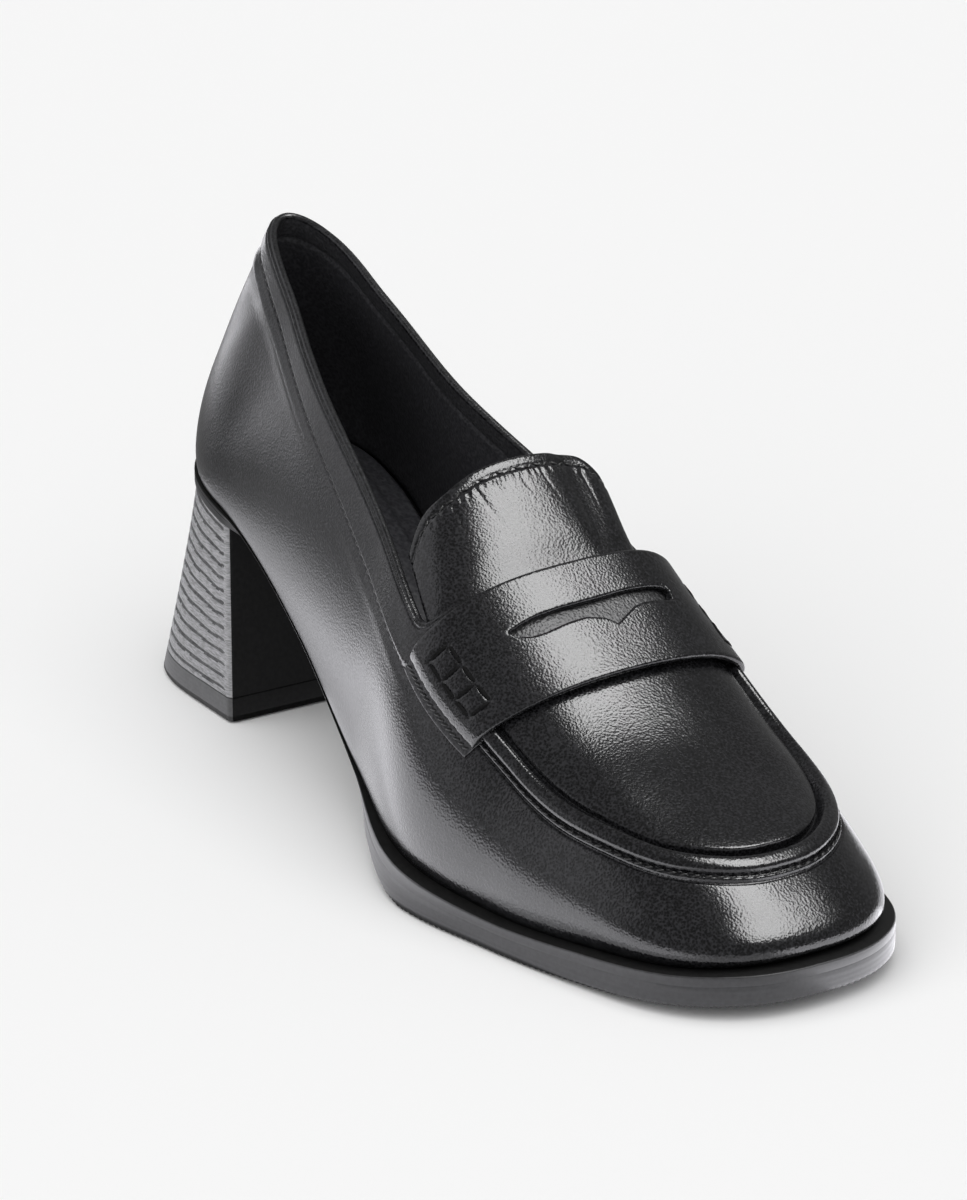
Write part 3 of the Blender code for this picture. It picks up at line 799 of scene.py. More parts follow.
# Each wrinkle: place across, slant, width, depth, length.
WRINKLES = (
    (-0.66, 0.10, 0.012, 0.10, 10.0),
    (-0.46, 0.16, 0.010, 0.16, 14.0),
    (-0.30, 0.10, 0.009, 0.12, 9.0),
    (-0.12, 0.07, 0.008, 0.14, 8.0),
    (0.08, 0.07, 0.009, 0.14, 11.0),
    (0.20, 0.16, 0.008, 0.12, 16.0),
    (0.38, 0.10, 0.012, 0.12, 15.0),
)


def tongue_depth(a, along):
    """Depth of the tongue's middle, with a dip under the strap, puckers along the stitches, fine wrinkles,
    and a valley beside a crown where it is free."""
    reach = along * (TONGUE_FRONT - TONGUE_TOP)
    depth = LEATHER + TONGUE_GAP + TONGUE_THICKNESS / 2
    depth = depth + TONGUE_DIP * smooth(tongue_x(a, along), STRAP_REAR - TONGUE_DIP_RUN, STRAP_REAR)
    for across, slant, width, deep, length in WRINKLES:
        trough = hump(a - across - slant * reach / length, 0, width)
        ends = smooth(reach, WRINKLE_FROM, WRINKLE_FULL) * (1 - smooth(reach, WRINKLE_FULL, length))
        depth = depth + deep * trough * ends
    pucker = np.cos(2 * np.pi * a * TONGUE_SIDE_LENGTH / TONGUE_PITCH)
    pucker = pucker * hump(reach, TONGUE_STITCH + PUCKER_PLACE, PUCKER_WIDTH)
    valley = hump(a, VALLEY_PLACE, np.where(a < VALLEY_PLACE, VALLEY_STEEP, VALLEY_GENTLE))
    free = 1 - smooth(reach, 12.0, 22.0)
    depth = depth + free * (VALLEY_DEPTH * valley - CROWN_RISE * hump(a, CROWN_PLACE, CROWN_WIDTH))
    return depth + STITCH_LINE_DEPTH * hump(reach, TONGUE_STITCH, 0.5) + PUCKER * pucker


print(len(WRINKLES), "wrinkles run from the tongue's edge")

# %% Tongue
EDGE_STEPS = np.array((0.0, 0.0012, 0.004, 0.010, 0.018))

across_places = packed_steps(190, EDGE_STEPS) * 2 - 1
along_places = np.concatenate((
    EDGE_STEPS, np.linspace(0.025, 0.2, 22), np.linspace(0.215, 0.98, 60), 1 - EDGE_STEPS[::-1]))
a, along = (grid.T for grid in np.meshgrid(across_places, along_places))
to_edge = np.minimum((1 - np.abs(a)) * TONGUE_SIDE_LENGTH, np.minimum(along, 1 - along) * TONGUE_LENGTH)
tongue_half = half_thickness(to_edge, TONGUE_THICKNESS, 0.7)
sheet_piece("tongue_skin", *on_tongue(a, along), -tongue_depth(a, along), tongue_half,
            cells(numbered(a.shape))[:, ::-1], tongue_leather, "tongue_leather", "tongue",
            shift=tongue_shoulder(a, along))

# %% [markdown]
# ## The saddle strap
#
# The strap bridges the apron and has the slot that the style is named for. The slot's rear edge is a
# plain arc, and its front lip is cut in two lobes with a small notch between. The grid is split along
# the slot, so the hole is real. At both ends the strap is folded under, and three stitched squares sink
# into the leather.

# %% Places on the strap
STRAP_END_ROW, STRAP_THICKNESS = 0.375, 1.8
STRAP_REAR_SWEEP, STRAP_FRONT_SWEEP = -19.0, -22.0
STRAP_GAP, STRAP_LIFT, STRAP_DRAPE, STRAP_DRAPE_WIDTH = 0.3, 0.9, 0.5, 6.0
STRAP_LATERAL_LENGTH, STRAP_MEDIAL_LENGTH, STRAP_WIDTH = 50.4, 40.5, 29.3
END_STRIP, END_WIDTH = 2.5, 27.0
SLOT_SPLIT = 0.385
SLOT = table(
    "across rear front",
    (-0.545, 0.385, 0.390),
    (-0.530, 0.378, 0.440),
    (-0.470, 0.362, 0.482),
    (-0.400, 0.350, 0.490),
    (-0.260, 0.347, 0.466),
    (-0.170, 0.347, 0.464),
    (-0.080, 0.345, 0.505),
    (-0.020, 0.340, 0.575),
    (0.060, 0.335, 0.525),
    (0.150, 0.333, 0.468),
    (0.230, 0.333, 0.450),
    (0.330, 0.335, 0.455),
    (0.415, 0.342, 0.462),
    (0.440, 0.360, 0.440),
    (0.450, 0.385, 0.390),
)
SLOT_START, SLOT_END = SLOT["across"][0], SLOT["across"][-1]


def on_strap(a, share):
    """Column and row of a place on the strap: across from -1 to 1, and from its rear edge to its front."""
    side, part = signed_side(a)
    rows = 1 - part * (1 - STRAP_END_ROW)
    rear = STRAP_REAR + STRAP_REAR_SWEEP * (1 - rows) ** 2
    front = STRAP_FRONT + STRAP_FRONT_SWEEP * (1 - rows) ** 2
    return side * column_through(rear + (front - rear) * share, rows), rows


def strap_lift(a, u, v):
    """Height of the strap's under face: a small gap, a bridge over the crest, and the drape over the seam."""
    bridge = STRAP_LIFT * (1 - np.abs(a) ** 9)
    return STRAP_GAP + bridge + STRAP_DRAPE * seam_share(u) * hump(from_seam(u, v), 0, STRAP_DRAPE_WIDTH)


def strap_length(a):
    """Millimetres from the crest to the strap's end on each side."""
    return np.where(a < 0, STRAP_LATERAL_LENGTH, STRAP_MEDIAL_LENGTH)


def in_slot(a):
    """Whether a place across the strap lies between the slot's ends."""
    return (a > SLOT_START) & (a < SLOT_END)


def slot_edges(a):
    """Shares of the slot's rear and front edge, straight between the table's places. Past its ends the slot
    is shut."""
    edges = (np.interp(a, SLOT["across"], SLOT[label]) for label in ("rear", "front"))
    return [np.where(in_slot(a), edge, SLOT_SPLIT) for edge in edges]


print("strap is", STRAP_WIDTH, "mm wide and", STRAP_LATERAL_LENGTH + STRAP_MEDIAL_LENGTH, "mm long")

# %% Stitched squares in the strap
SQUARE_ROWS, SQUARE_SIDE, SQUARE_FROM = 3, 5.35, 0.205
SQUARE_OUTER, SQUARE_INNER = 3.6, 8.6
SQUARE_LINE, SQUARE_FADE, SQUARE_PUFF, SQUARE_DEPTH = 0.55, 0.7, 0.35, 0.3


def between(place, start, end):
    """1 between start and end, with a soft fall past both."""
    return smooth(place, start - SQUARE_FADE, start) * (1 - smooth(place, end, end + SQUARE_FADE))


def square_grooves(a, share):
    """Sunken stitch lines of the three squares near each end of the strap, by the distance from each line."""
    inset = (1 - np.abs(a)) * strap_length(a) - END_STRIP
    along = (share - SQUARE_FROM) * END_WIDTH
    inside_along = between(along, 0.0, SQUARE_ROWS * SQUARE_SIDE)
    inside_across = between(inset, SQUARE_OUTER, SQUARE_INNER)
    long_lines = hump(inset, SQUARE_OUTER, SQUARE_LINE) + hump(inset, SQUARE_INNER, SQUARE_LINE)
    bars = sum(hump(along, k * SQUARE_SIDE, SQUARE_LINE) for k in range(SQUARE_ROWS + 1))
    lines = np.maximum(long_lines * inside_along, bars * inside_across)
    return SQUARE_DEPTH * (lines - SQUARE_PUFF * inside_along * inside_across * (1 - lines.clip(0, 1)))


print(SQUARE_ROWS, "squares of", SQUARE_SIDE, "mm at each end of the strap")

# %% Strap body
FOLD_LOW, FOLD_REACH, SCALLOP, SCALLOP_PITCH = 0.75, 3.2, 0.05, 2.6
STRAP_ROUNDING = 0.9

body_start, body_end = -1 + END_STRIP / STRAP_LATERAL_LENGTH, 1 - END_STRIP / STRAP_MEDIAL_LENGTH
steps_of_slot = zip(SLOT["across"][:-1], SLOT["across"][1:])
end_steps = np.array((0.0, 0.05, 0.15, 0.35, 0.6, 0.9, 1.3, 1.7, 2.2, 2.9))
across_places = np.unique(np.concatenate((
    body_start + end_steps / STRAP_LATERAL_LENGTH,
    np.linspace(body_start + 0.065, SLOT_START - 0.006, 70),
    *(np.linspace(low, high, 14) for low, high in steps_of_slot),
    np.linspace(SLOT_END + 0.006, body_end - 0.08, 70),
    body_end - end_steps / STRAP_MEDIAL_LENGTH,
)))
rear_steps = packed_steps(34, (0.0, 0.006, 0.02, 0.05, 0.09))[:, None]
front_steps = packed_steps(56, (0.0, 0.003, 0.012, 0.03, 0.055))[:, None]
slot_rear, slot_front = slot_edges(across_places)
share = np.concatenate((rear_steps * slot_rear, slot_front + front_steps * (1 - slot_front)))
a = np.broadcast_to(across_places, share.shape)
to_end = np.minimum(a - body_start, body_end - a) * strap_length(a)
fold = 1 - smooth(to_end, 0, FOLD_REACH)
scallop = SCALLOP * np.sin(2 * np.pi * share * END_WIDTH / SCALLOP_PITCH) * fold
a = a + np.sign(a) * scallop / strap_length(a)
strap_u, strap_v = on_strap(a, share)
past_slot = np.maximum(SLOT_START - a, a - SLOT_END).clip(0, 1) * strap_length(a)
across_slot = np.where(share <= SLOT_SPLIT, slot_rear - share, share - slot_front) * STRAP_WIDTH
to_slot = np.hypot(past_slot, np.maximum(across_slot, 0))
to_edge = np.minimum(np.minimum(share, 1 - share) * STRAP_WIDTH, to_slot)
strap_half = np.minimum(half_thickness(to_edge, STRAP_THICKNESS, STRAP_ROUNDING),
                        half_thickness(to_end, STRAP_THICKNESS, FOLD_REACH))
lift = strap_lift(a, strap_u, strap_v) + STRAP_THICKNESS / 2
index = numbered(a.shape)
front_row = len(rear_steps)
index[front_row] = np.where(in_slot(across_places), index[front_row], index[front_row - 1])
strap_quads = np.concatenate((cells(index[:front_row]), cells(index[front_row:])))
sheet_piece("saddle_strap_skin", strap_u, strap_v, lift - FOLD_LOW * fold - square_grooves(a, share),
            strap_half, strap_quads, strap_leather, "strap_leather", "saddle_strap")

# %% [markdown]
# ## Under the strap
#
# Through the slot one looks onto the strap's own lining, and below each folded end a thin strip is sewn
# to the upper. Both could be painted on, but they catch the light at their own depth, so each is a thin
# sheet of its own. Neither stands for a solid: they lie in the gap under the strap and past its fold.

# %% Lining under the slot
LINING_SHARES, LINING_ACROSS = (0.27, 0.66), (-0.62, 0.53)
LINING_THICKNESS, LINING_MEAN_LENGTH = 0.5, 40.0

share, a = np.meshgrid(np.linspace(*LINING_SHARES, 30), np.linspace(*LINING_ACROSS, 90), indexing="ij")
lining_u, lining_v = on_strap(a, share)
lining_middle = strap_lift(a, lining_u, lining_v) - LINING_THICKNESS
to_edge = np.minimum(
    np.minimum(share - LINING_SHARES[0], LINING_SHARES[1] - share) * STRAP_WIDTH,
    np.minimum(a - LINING_ACROSS[0], LINING_ACROSS[1] - a) * LINING_MEAN_LENGTH)
sheet_piece("strap_lining", lining_u, lining_v, lining_middle,
            half_thickness(to_edge, LINING_THICKNESS, LINING_THICKNESS), cells(numbered(a.shape)),
            edge_leather, "strap_leather")

# %% Sewn strips under the strap's ends
STRIP_HIDDEN, STRIP_HEIGHT, STRIP_THICKNESS, STRIP_ROUNDING = 2.5, 0.32, 0.5, 0.25
STRIP_STITCH_LINE, STRIP_STITCH_DEPTH, STRIP_OVER_BEAD = 1.4, 0.1, 0.25
SIDES = (("lateral", -1), ("medial", 1))


def end_strip(name, side):
    """Thin strip of the strap's width from under the fold to the strap's end row."""
    length = float(strap_length(side))
    reach = packed_steps(24, (0.0, 0.02, 0.06, 0.12))
    places = side * (1 - (END_STRIP + STRIP_HIDDEN) / length * (1 - reach))
    share, a = np.meshgrid(packed_steps(60, (0.0, 0.004, 0.012, 0.025)), places, indexing="ij")
    u, v = on_strap(a, share)
    to_edge = np.minimum(np.minimum(share, 1 - share) * END_WIDTH, (1 - np.abs(a)) * length)
    to_edge = np.minimum(to_edge, (np.abs(a) - np.abs(places).min()) * length)
    half = half_thickness(to_edge, STRIP_THICKNESS, STRIP_ROUNDING)
    line = STRIP_STITCH_DEPTH * hump((1 - np.abs(a)) * length, STRIP_STITCH_LINE, 0.5)
    middle = STRIP_HEIGHT + STRIP_OVER_BEAD * seam_share(u) * bead(from_seam(u, v)) - line
    quads = cells(numbered(a.shape))[:, ::side]
    sheet_piece(name, u, v, middle, half, quads, edge_leather, "strap_leather")


for label, side in SIDES:
    end_strip("strap_strip_" + label, side)

# %% [markdown]
# ## Stitches
#
# Thread shows as short dark bars that dip into the leather at both ends. One small template, bent like a
# stitch, is repeated along a line on the last at an even pitch. The places along the line come from its
# own length, so no stitch is longer than its neighbour, and every stitch stays on the leather.

# %% Threads
STITCH_RINGS, STITCH_SIDES = 7, 6


def thread_material(name, colour, rough, gloss):
    """Waxed thread: twisted plies as a fine wave on the bump, and frayed fibres in a lighter tone."""
    material, tree, shader, place = fresh_material(name)
    plies = texture(tree, place, "ShaderNodeTexWave", Scale=900.0, Distortion=3.0)
    fray = texture(tree, place, "ShaderNodeTexNoise", Scale=1500.0, Detail=2.0)
    bumped(tree, shader, plies.outputs["Fac"], 0.3, 0.0001)
    lighter = tuple(1.8 * part for part in colour)
    tone = ramp(tree, fray.outputs["Fac"], ((0.35, colour), (0.65, lighter)))
    tree.links.new(tone, shader.inputs["Base Color"])
    shader.inputs["Roughness"].default_value = rough
    shader.inputs["Specular IOR Level"].default_value = gloss
    return material


def stitch_template(length, radius):
    """A bar along x: its radius closes at both ends as a fourth power, and it bows up in the middle."""
    t = np.linspace(-1, 1, STITCH_RINGS)[:, None]
    turn = np.linspace(0, 2 * np.pi, STITCH_SIDES, endpoint=False)[None]
    width = radius * (1 - t ** 4) ** 0.5
    bow = radius * (0.9 * (1 - t ** 2) - 0.6)
    bar = np.broadcast_arrays(t * length / 2, width * np.cos(turn), width * np.sin(turn) + bow)
    index = numbered((STITCH_RINGS, STITCH_SIDES))
    index[0], index[-1] = index[0, 0], index[-1, 0]
    return np.stack(bar, -1).reshape(-1, 3), cells(np.concatenate((index, index[:, :1]), axis=1))


black_thread = thread_material("black_thread", (0.006, 0.006, 0.006), rough=0.42, gloss=0.4)
matt_thread = thread_material("matt_thread", (0.003, 0.003, 0.003), rough=0.8, gloss=0.08)
print("one stitch has", len(stitch_template(2.0, 0.3)[1]), "faces")


# %% Sewing helpers
def sew(name, centre, way, normal, length, radius, slot, slant=0.0, thread=black_thread):
    """A template at every centre, its x along the way and its z along the normal, turned by the slant."""
    points, quads = stitch_template(length, radius)
    way = unit(way - (way * normal).sum(-1, keepdims=True) * normal)
    slant = np.broadcast_to(slant, len(centre))[:, None]
    ahead = np.cos(slant) * way + np.sin(slant) * np.cross(normal, way)
    side = np.cross(normal, ahead)
    placed = centre[:, None] + points[:, 0, None] * ahead[:, None]
    placed = placed + points[:, 1, None] * side[:, None] + points[:, 2, None] * normal[:, None]
    first = (np.arange(len(centre)) * len(points))[:, None, None]
    add_piece(name, placed, (quads[None] + first).reshape(-1, 4), (thread,))


def paced(u, v, out, pitch, shift=0.0):
    """Places at an even pitch along a line on the last: centre, direction and normal."""
    line = on_last(u, v, out) + shift
    run = length_along(line)
    steps = np.arange(pitch / 2, run[-1], pitch)

    def at(places):
        return np.column_stack([np.interp(places, run, line[:, axis]) for axis in range(3)])

    normal = last_normal(np.interp(steps, run, u), np.interp(steps, run, v))
    return at(steps), at(steps + 0.3) - at(steps - 0.3), normal


print("sewing helpers ready")

# %% Collar and apron stitches
COLLAR_STITCH, COLLAR_PITCH, COLLAR_RADIUS, COLLAR_SLANT = 2.5, 2.9, 0.36, 0.15
APRON_PLACE, APRON_START = -3.0, 160.0
APRON_STITCH, APRON_PITCH, APRON_RADIUS, APRON_SLANT = 2.1, 2.6, 0.26, 0.25
LINE_POINTS = 900

collar_end = column_of(COLLAR_END - 3.0)
line_u = np.linspace(-collar_end, collar_end, LINE_POINTS)
line_v = stitch_row(line_u)
places = paced(line_u, line_v, upper_relief(line_u, line_v) + 0.1, COLLAR_PITCH)
sew("collar_stitches", *places, COLLAR_STITCH, COLLAR_RADIUS, "upper_leather", COLLAR_SLANT)

apron_start = column_of(APRON_START)
line_u = np.linspace(-apron_start, -2 + apron_start, LINE_POINTS)
line_v = seam_row(line_u) + APRON_PLACE / row_length(line_u, seam_row(line_u))
places = paced(line_u, line_v, upper_relief(line_u, line_v) + 0.08, APRON_PITCH)
sew("apron_stitches", *places, APRON_STITCH, APRON_RADIUS, "upper_leather", APRON_SLANT)

# %% Strap stitches
SQUARE_RADIUS, SQUARE_OVERLAP = 0.46, 0.3
STRIP_STITCH, STRIP_PITCH, STRIP_RADIUS, STRIP_SLANT = 2.0, 1.5, 0.3, 0.5
STRIP_STITCH_INSET, STRIP_STITCH_HEIGHT, STRIP_POINTS = 1.35, 0.5, 200


def strap_top(a, share):
    """Point of the strap's outer face."""
    u, v = on_strap(a, share)
    return on_last(u, v, strap_lift(a, u, v) + STRAP_THICKNESS - square_grooves(a, share))


def square_lines(side, step=0.01):
    """Middle, direction and normal of each thread of the three squares near one end of the strap."""
    insets = np.array((SQUARE_OUTER, SQUARE_INNER)) + END_STRIP
    across = side * (1 - insets / strap_length(side))
    bars = SQUARE_FROM + np.arange(SQUARE_ROWS + 1) * SQUARE_SIDE / END_WIDTH
    a = np.concatenate((np.repeat(across, SQUARE_ROWS), np.full(len(bars), across.mean())))
    share = np.concatenate((np.tile((bars[:-1] + bars[1:]) / 2, 2), bars))
    is_bar = np.arange(len(a)) >= 2 * SQUARE_ROWS
    step_a, step_share = np.where(is_bar, step, 0.0), np.where(is_bar, 0.0, step)
    way = strap_top(a + step_a, share + step_share) - strap_top(a - step_a, share - step_share)
    return strap_top(a, share), way, last_normal(*on_strap(a, share))


for label, side in SIDES:
    sew("square_stitches_" + label, *square_lines(side), SQUARE_SIDE + SQUARE_OVERLAP, SQUARE_RADIUS,
        "strap_leather", thread=matt_thread)

for label, side in SIDES:
    line_a = np.full(STRIP_POINTS, side * (1 - STRIP_STITCH_INSET / strap_length(side)))
    line_u, line_v = on_strap(line_a, np.linspace(0.02, 0.98, STRIP_POINTS))
    places = paced(line_u, line_v, np.full(STRIP_POINTS, STRIP_STITCH_HEIGHT), STRIP_PITCH)
    sew("strip_stitches_" + label, *places, STRIP_STITCH, STRIP_RADIUS, "strap_leather", STRIP_SLANT)

# %% Tongue stitches
WHIP_LENGTH, WHIP_RADIUS, WHIP_SLANTS = 2.2, 0.27, (-0.3, 0.5)

line_a = np.linspace(-0.9, 0.8, 400)
line_along = np.full(line_a.shape, TONGUE_STITCH / (TONGUE_FRONT - TONGUE_TOP))
line_out = TONGUE_THICKNESS / 2 - tongue_depth(line_a, line_along) + 0.1
places = paced(*on_tongue(line_a, line_along), line_out, TONGUE_PITCH, tongue_shoulder(line_a, line_along))
slants = np.resize(WHIP_SLANTS, len(places[0]))
sew("tongue_stitches", *places, WHIP_LENGTH, WHIP_RADIUS, "tongue_leather", slants)

# %% [markdown]
# ## The outsole
#
# The sole is moulded rubber: a black rim that stands out round the upper, a side wall with fine mould
# lines, and a toothed edge along the floor. The wall is nearly black too. It looks grey because it mirrors
# the pale floor, so its colour is dark and its gloss does the work. The rings follow the feather line,
# moved outwards, with columns at even steps so that the teeth are all alike. Under the waist the wall is
# bevelled, so the sole thins to a black edge there.

# %% Rubber and sole materials
def rubber(name, dark, light, rough, line_scale, line_bump, gloss=0.5):
    """Moulded rubber: level mould lines from a wave along the height, plus a fine speckle."""
    material, tree, shader, place = fresh_material(name)
    lines = texture(tree, place, "ShaderNodeTexWave", Scale=line_scale, Distortion=1.5, Detail=2.0)
    lines.bands_direction = "Z"
    speck = texture(tree, place, "ShaderNodeTexNoise", Scale=900.0, Detail=4.0)
    bumped(tree, shader, added(tree, lines.outputs["Fac"], speck.outputs["Fac"]), line_bump, 0.0002)
    tone = ramp(tree, speck.outputs["Fac"], ((0.35, dark), (0.65, light)))
    tree.links.new(tone, shader.inputs["Base Color"])
    roughness = spread(tree, speck.outputs["Fac"], rough - 0.06, rough + 0.06)
    tree.links.new(roughness, shader.inputs["Roughness"])
    shader.inputs["Specular IOR Level"].default_value = gloss
    return material


sole_rubber = rubber("outsole_rubber", (0.016, 0.016, 0.017), (0.026, 0.026, 0.028), 0.44, 260.0, 0.10)
sole_black = rubber("outsole_black", (0.005, 0.005, 0.005), (0.009, 0.009, 0.009), 0.5, 120.0, 0.05, 0.15)
tread_rubber = rubber("tread_rubber", (0.012, 0.012, 0.012), (0.024, 0.024, 0.024), 0.75, 60.0, 0.3)
print("rubbers made")


# %% Rings round the last
def even_columns(count):
    """u of a ring of columns at even steps along the feather line: its length, read backwards."""
    fine = np.linspace(0, -2, 6001)
    run = length_along(ends_of(fine)[0])
    return np.interp(np.arange(count) / count * run[-1], run, fine)


def plan_ring(u, offset):
    """Feather line moved outwards in plan by the offset of each column."""
    line = ends_of(u)[0]
    way = np.roll(line, -1, axis=0) - np.roll(line, 1, axis=0)
    out = unit(np.stack((way[:, 1], -way[:, 0]), -1))
    return line[:, :2] + out * np.broadcast_to(offset, len(line))[:, None]


def lid(ring, turned):
    """Faces across a closed ring, from each lateral column to the medial column opposite."""
    i = np.arange(len(ring) // 2)
    faces = np.stack((ring[i], ring[-i], ring[-i - 1], ring[i + 1]), 1)
    return faces[:, ::-1] if turned else faces


def ring_solid(name, rings, materials, node, finish, sharp=35):
    """Closed solid of rings from top to bottom, with lids over the first and the last. The finish gives
    each face between two rings its material."""
    levels, count = rings.shape[:2]
    index = numbered((levels, count))
    around = np.concatenate((index, index[:, :1]), axis=1)
    quads = np.concatenate((cells(around), lid(index[0], True), lid(index[-1], False)))
    lids = np.repeat((finish[0, 0], finish[-1, 0]), count // 2)
    add_piece(name, rings, quads, materials, node, np.concatenate((finish.ravel(), lids)), sharp)


print("feather line is", round(float(length_along(ends_of(even_columns(400))[0])[-1])), "mm round")

# %% Outsole
SOLE = table(
    "x rim bottom",
    (0.0, 1.0, 53.2),
    (40.0, 0.8, 45.8),
    (75.0, 0.7, 32.2),
    (110.0, 1.2, 12.5),
    (130.0, 2.4, 3.4),
    (147.0, 3.5, 0.0),
    (186.0, 3.6, 0.0),
    (208.0, 3.8, 1.1),
    (232.4, 4.6, 3.0),
)
FLAT_FROM, FLAT_TO = 147.0, 186.0
# Each ring of the side, from the top to the bottom: share of the thickness, inset from the rim.
SOLE_SIDE = (
    (0.0, 8.0), (0.0, 0.6), (0.012, 0.22), (0.04, 0.04), (0.07, 0.0), (0.2, 0.0), (0.3, 0.0), (0.32, 0.07),
    (0.335, 0.07), (0.355, 0.0), (0.5, 0.0), (0.7, 0.0), (0.86, 0.0), (0.93, 0.05), (0.985, 0.25),
    (1.0, 0.6), (1.0, 5.0),
)
SOLE_RING, RIM_RINGS, TREAD_RINGS = 1320, 2, 3
TOOTH_COLUMNS, TOOTH_HEIGHT, TOOTH_FADE = 4, 0.7, (118.0, 128.0)
WALL_FROM = 62.0
WAIST_BEVEL, BEVEL_POWER, BEVEL_RISE, BEVEL_FALL = 3.0, 0.7, (31.0, 42.0), (100.0, 124.0)
WALL, RIM, TREAD = 0, 1, 2


def sole_bottom(x):
    """Height of the sole's bottom: flat on the floor under the ball, and off it at the arch and the toe."""
    flat = (x >= FLAT_FROM) & (x <= FLAT_TO)
    return np.where(flat, 0.0, np.maximum(curve(x, SOLE, "bottom"), 0.0))


sole_u = even_columns(SOLE_RING)
sole_x = station(sole_u)
bevel = WAIST_BEVEL * smooth(sole_x, *BEVEL_RISE) * (1 - smooth(sole_x, *BEVEL_FALL))
rings = []
for share, inset in SOLE_SIDE:
    plan = plan_ring(sole_u, curve(sole_x, SOLE, "rim") - inset - bevel * share ** BEVEL_POWER)
    level = curve(plan[:, 0], LAST, "feather") - SOLE_GAP
    rings.append(np.column_stack((plan, level + (sole_bottom(plan[:, 0]) - level) * share)))
rings = np.array(rings)
tooth = (np.arange(SOLE_RING) // (TOOTH_COLUMNS // 2) % 2) * smooth(sole_x, *TOOTH_FADE)
rings[-3:-1, :, 2] += np.outer((0.5, 1.0), tooth * TOOTH_HEIGHT)
wall_rings = len(SOLE_SIDE) - 1 - RIM_RINGS - TREAD_RINGS
finish = np.repeat((RIM, WALL, TREAD), (RIM_RINGS, wall_rings, TREAD_RINGS))[:, None]
finish = np.where(sole_x[None] < WALL_FROM, RIM, finish)
ring_solid("outsole_skin", rings, (sole_rubber, sole_black, tread_rubber), "outsole",
           finish)

# %% [markdown]
# ## The heel
#
# A stacked heel is built of leather lifts, and this one has a cover that shows them as wavy stripes with
# dark specks on the back and the sides. The cover's light grey is painted light: it stands for the strong
# side light on a dark heel, while its stripes and specks are its own pattern. The breast, which faces the
# arch, is plain and dark. The lifts are real grooves in the rings of the heel, and their waviness is a sum
# of two slow sines.

# %% Heel materials
def stacked_leather_painted_light(name):
    """Stacked lifts: stretched specks along the height, in the tone, the gloss and the bump. The tone's light
    grey is painted light for the side light on a dark heel.
    """
    material, tree, shader, place = fresh_material(name)
    turn = texture(tree, place, "ShaderNodeMapping", Scale=(120.0, 120.0, 700.0))
    specks = texture(
        tree, turn.outputs["Vector"], "ShaderNodeTexNoise", Scale=4.0, Detail=5.0, Roughness=0.7)
    specks = specks.outputs["Fac"]
    bumped(tree, shader, specks, 0.45, 0.0002)
    # Painted light: these grey stops stand for the strong side light on a dark heel; the specks are its
    # pattern.
    tone = ramp(tree, specks, ((0.36, (0.120, 0.120, 0.124)), (0.62, (0.315, 0.315, 0.326))))
    tree.links.new(tone, shader.inputs["Base Color"])
    tree.links.new(spread(tree, specks, 0.62, 0.44), shader.inputs["Roughness"])
    return material


# Painted light: the cover's grey tone stands for the side light on the dark heel's back and sides.
heel_cover_painted_light = stacked_leather_painted_light("heel_stack")
heel_breast = rubber("heel_breast", (0.004, 0.004, 0.004), (0.008, 0.008, 0.008), 0.7, 90.0, 0.05, 0.1)
lift_line = rubber("lift_line", (0.030, 0.030, 0.031), (0.090, 0.090, 0.093), 0.7, 90.0, 0.1)
top_rubber = rubber("top_piece_rubber", (0.050, 0.050, 0.051), (0.070, 0.070, 0.072), 0.6, 300.0, 0.1)
print("heel finishes made")

# %% Outline of the heel
# Each end of the heel: x of the back, x of the breast, half width, power of the round back.
HEEL_SEAT = np.array((0.4, 33.5, 23.0, 2.2))
HEEL_FLOOR = np.array((HEEL_FLOOR_BACK, 38.5, 25.8, 2.79))
HEEL_BACK_DEPTH, HEEL_CORNER, HEEL_FLARE_POWER, TOP_PIECE = 31.0, 1.6, 1.15, 6.0
BACK_POINTS, SIDE_POINTS, CORNER_POINTS, BREAST_POINTS = 80, 16, 7, 12
HEEL_HEIGHT = float(curve(20.0, SOLE, "bottom")) - SOLE_GAP


def heel_plan(share, inset=0.0):
    """Heel outline at a share of the way to the floor: a superellipse back, straight sides, round corners
    and a flat breast."""
    back, breast, half, power = HEEL_SEAT + (HEEL_FLOOR - HEEL_SEAT) * share
    back, breast, half = back + inset, breast - inset, half - inset
    angle = np.linspace(0, np.pi / 2, BACK_POINTS)
    turn = np.linspace(0, np.pi / 2, CORNER_POINTS)
    across = np.linspace(1, 0, BREAST_POINTS)[1:] * (half - HEEL_CORNER)
    straight = np.linspace(back + HEEL_BACK_DEPTH, breast - HEEL_CORNER, SIDE_POINTS + 2)[1:-1]
    x = np.concatenate((back + HEEL_BACK_DEPTH * (1 - np.cos(angle) ** (2 / power)), straight,
                        breast - HEEL_CORNER + HEEL_CORNER * np.sin(turn), np.full(len(across), breast)))
    y = np.concatenate((half * np.sin(angle) ** (2 / power), np.full(SIDE_POINTS, half),
                        half - HEEL_CORNER + HEEL_CORNER * np.cos(turn), across))
    return np.column_stack((np.concatenate((x, x[-2:0:-1])), np.concatenate((-y, y[-2:0:-1])) + HEEL_AXIS))


print("heel is", round(HEEL_HEIGHT, 1), "mm high")

# %% Heel block
HEEL_LEVELS = 150
LIFTS, LIFT_GROOVE, LIFT_GROOVE_WIDTH, LIFT_WAVE = 14, 0.35, 0.13, 0.4
GROOVE_FADE, BREAST_PAST, LINE_FROM = 4, 3, 0.45
COVER, BREAST, LIFT_LINE = 0, 1, 2

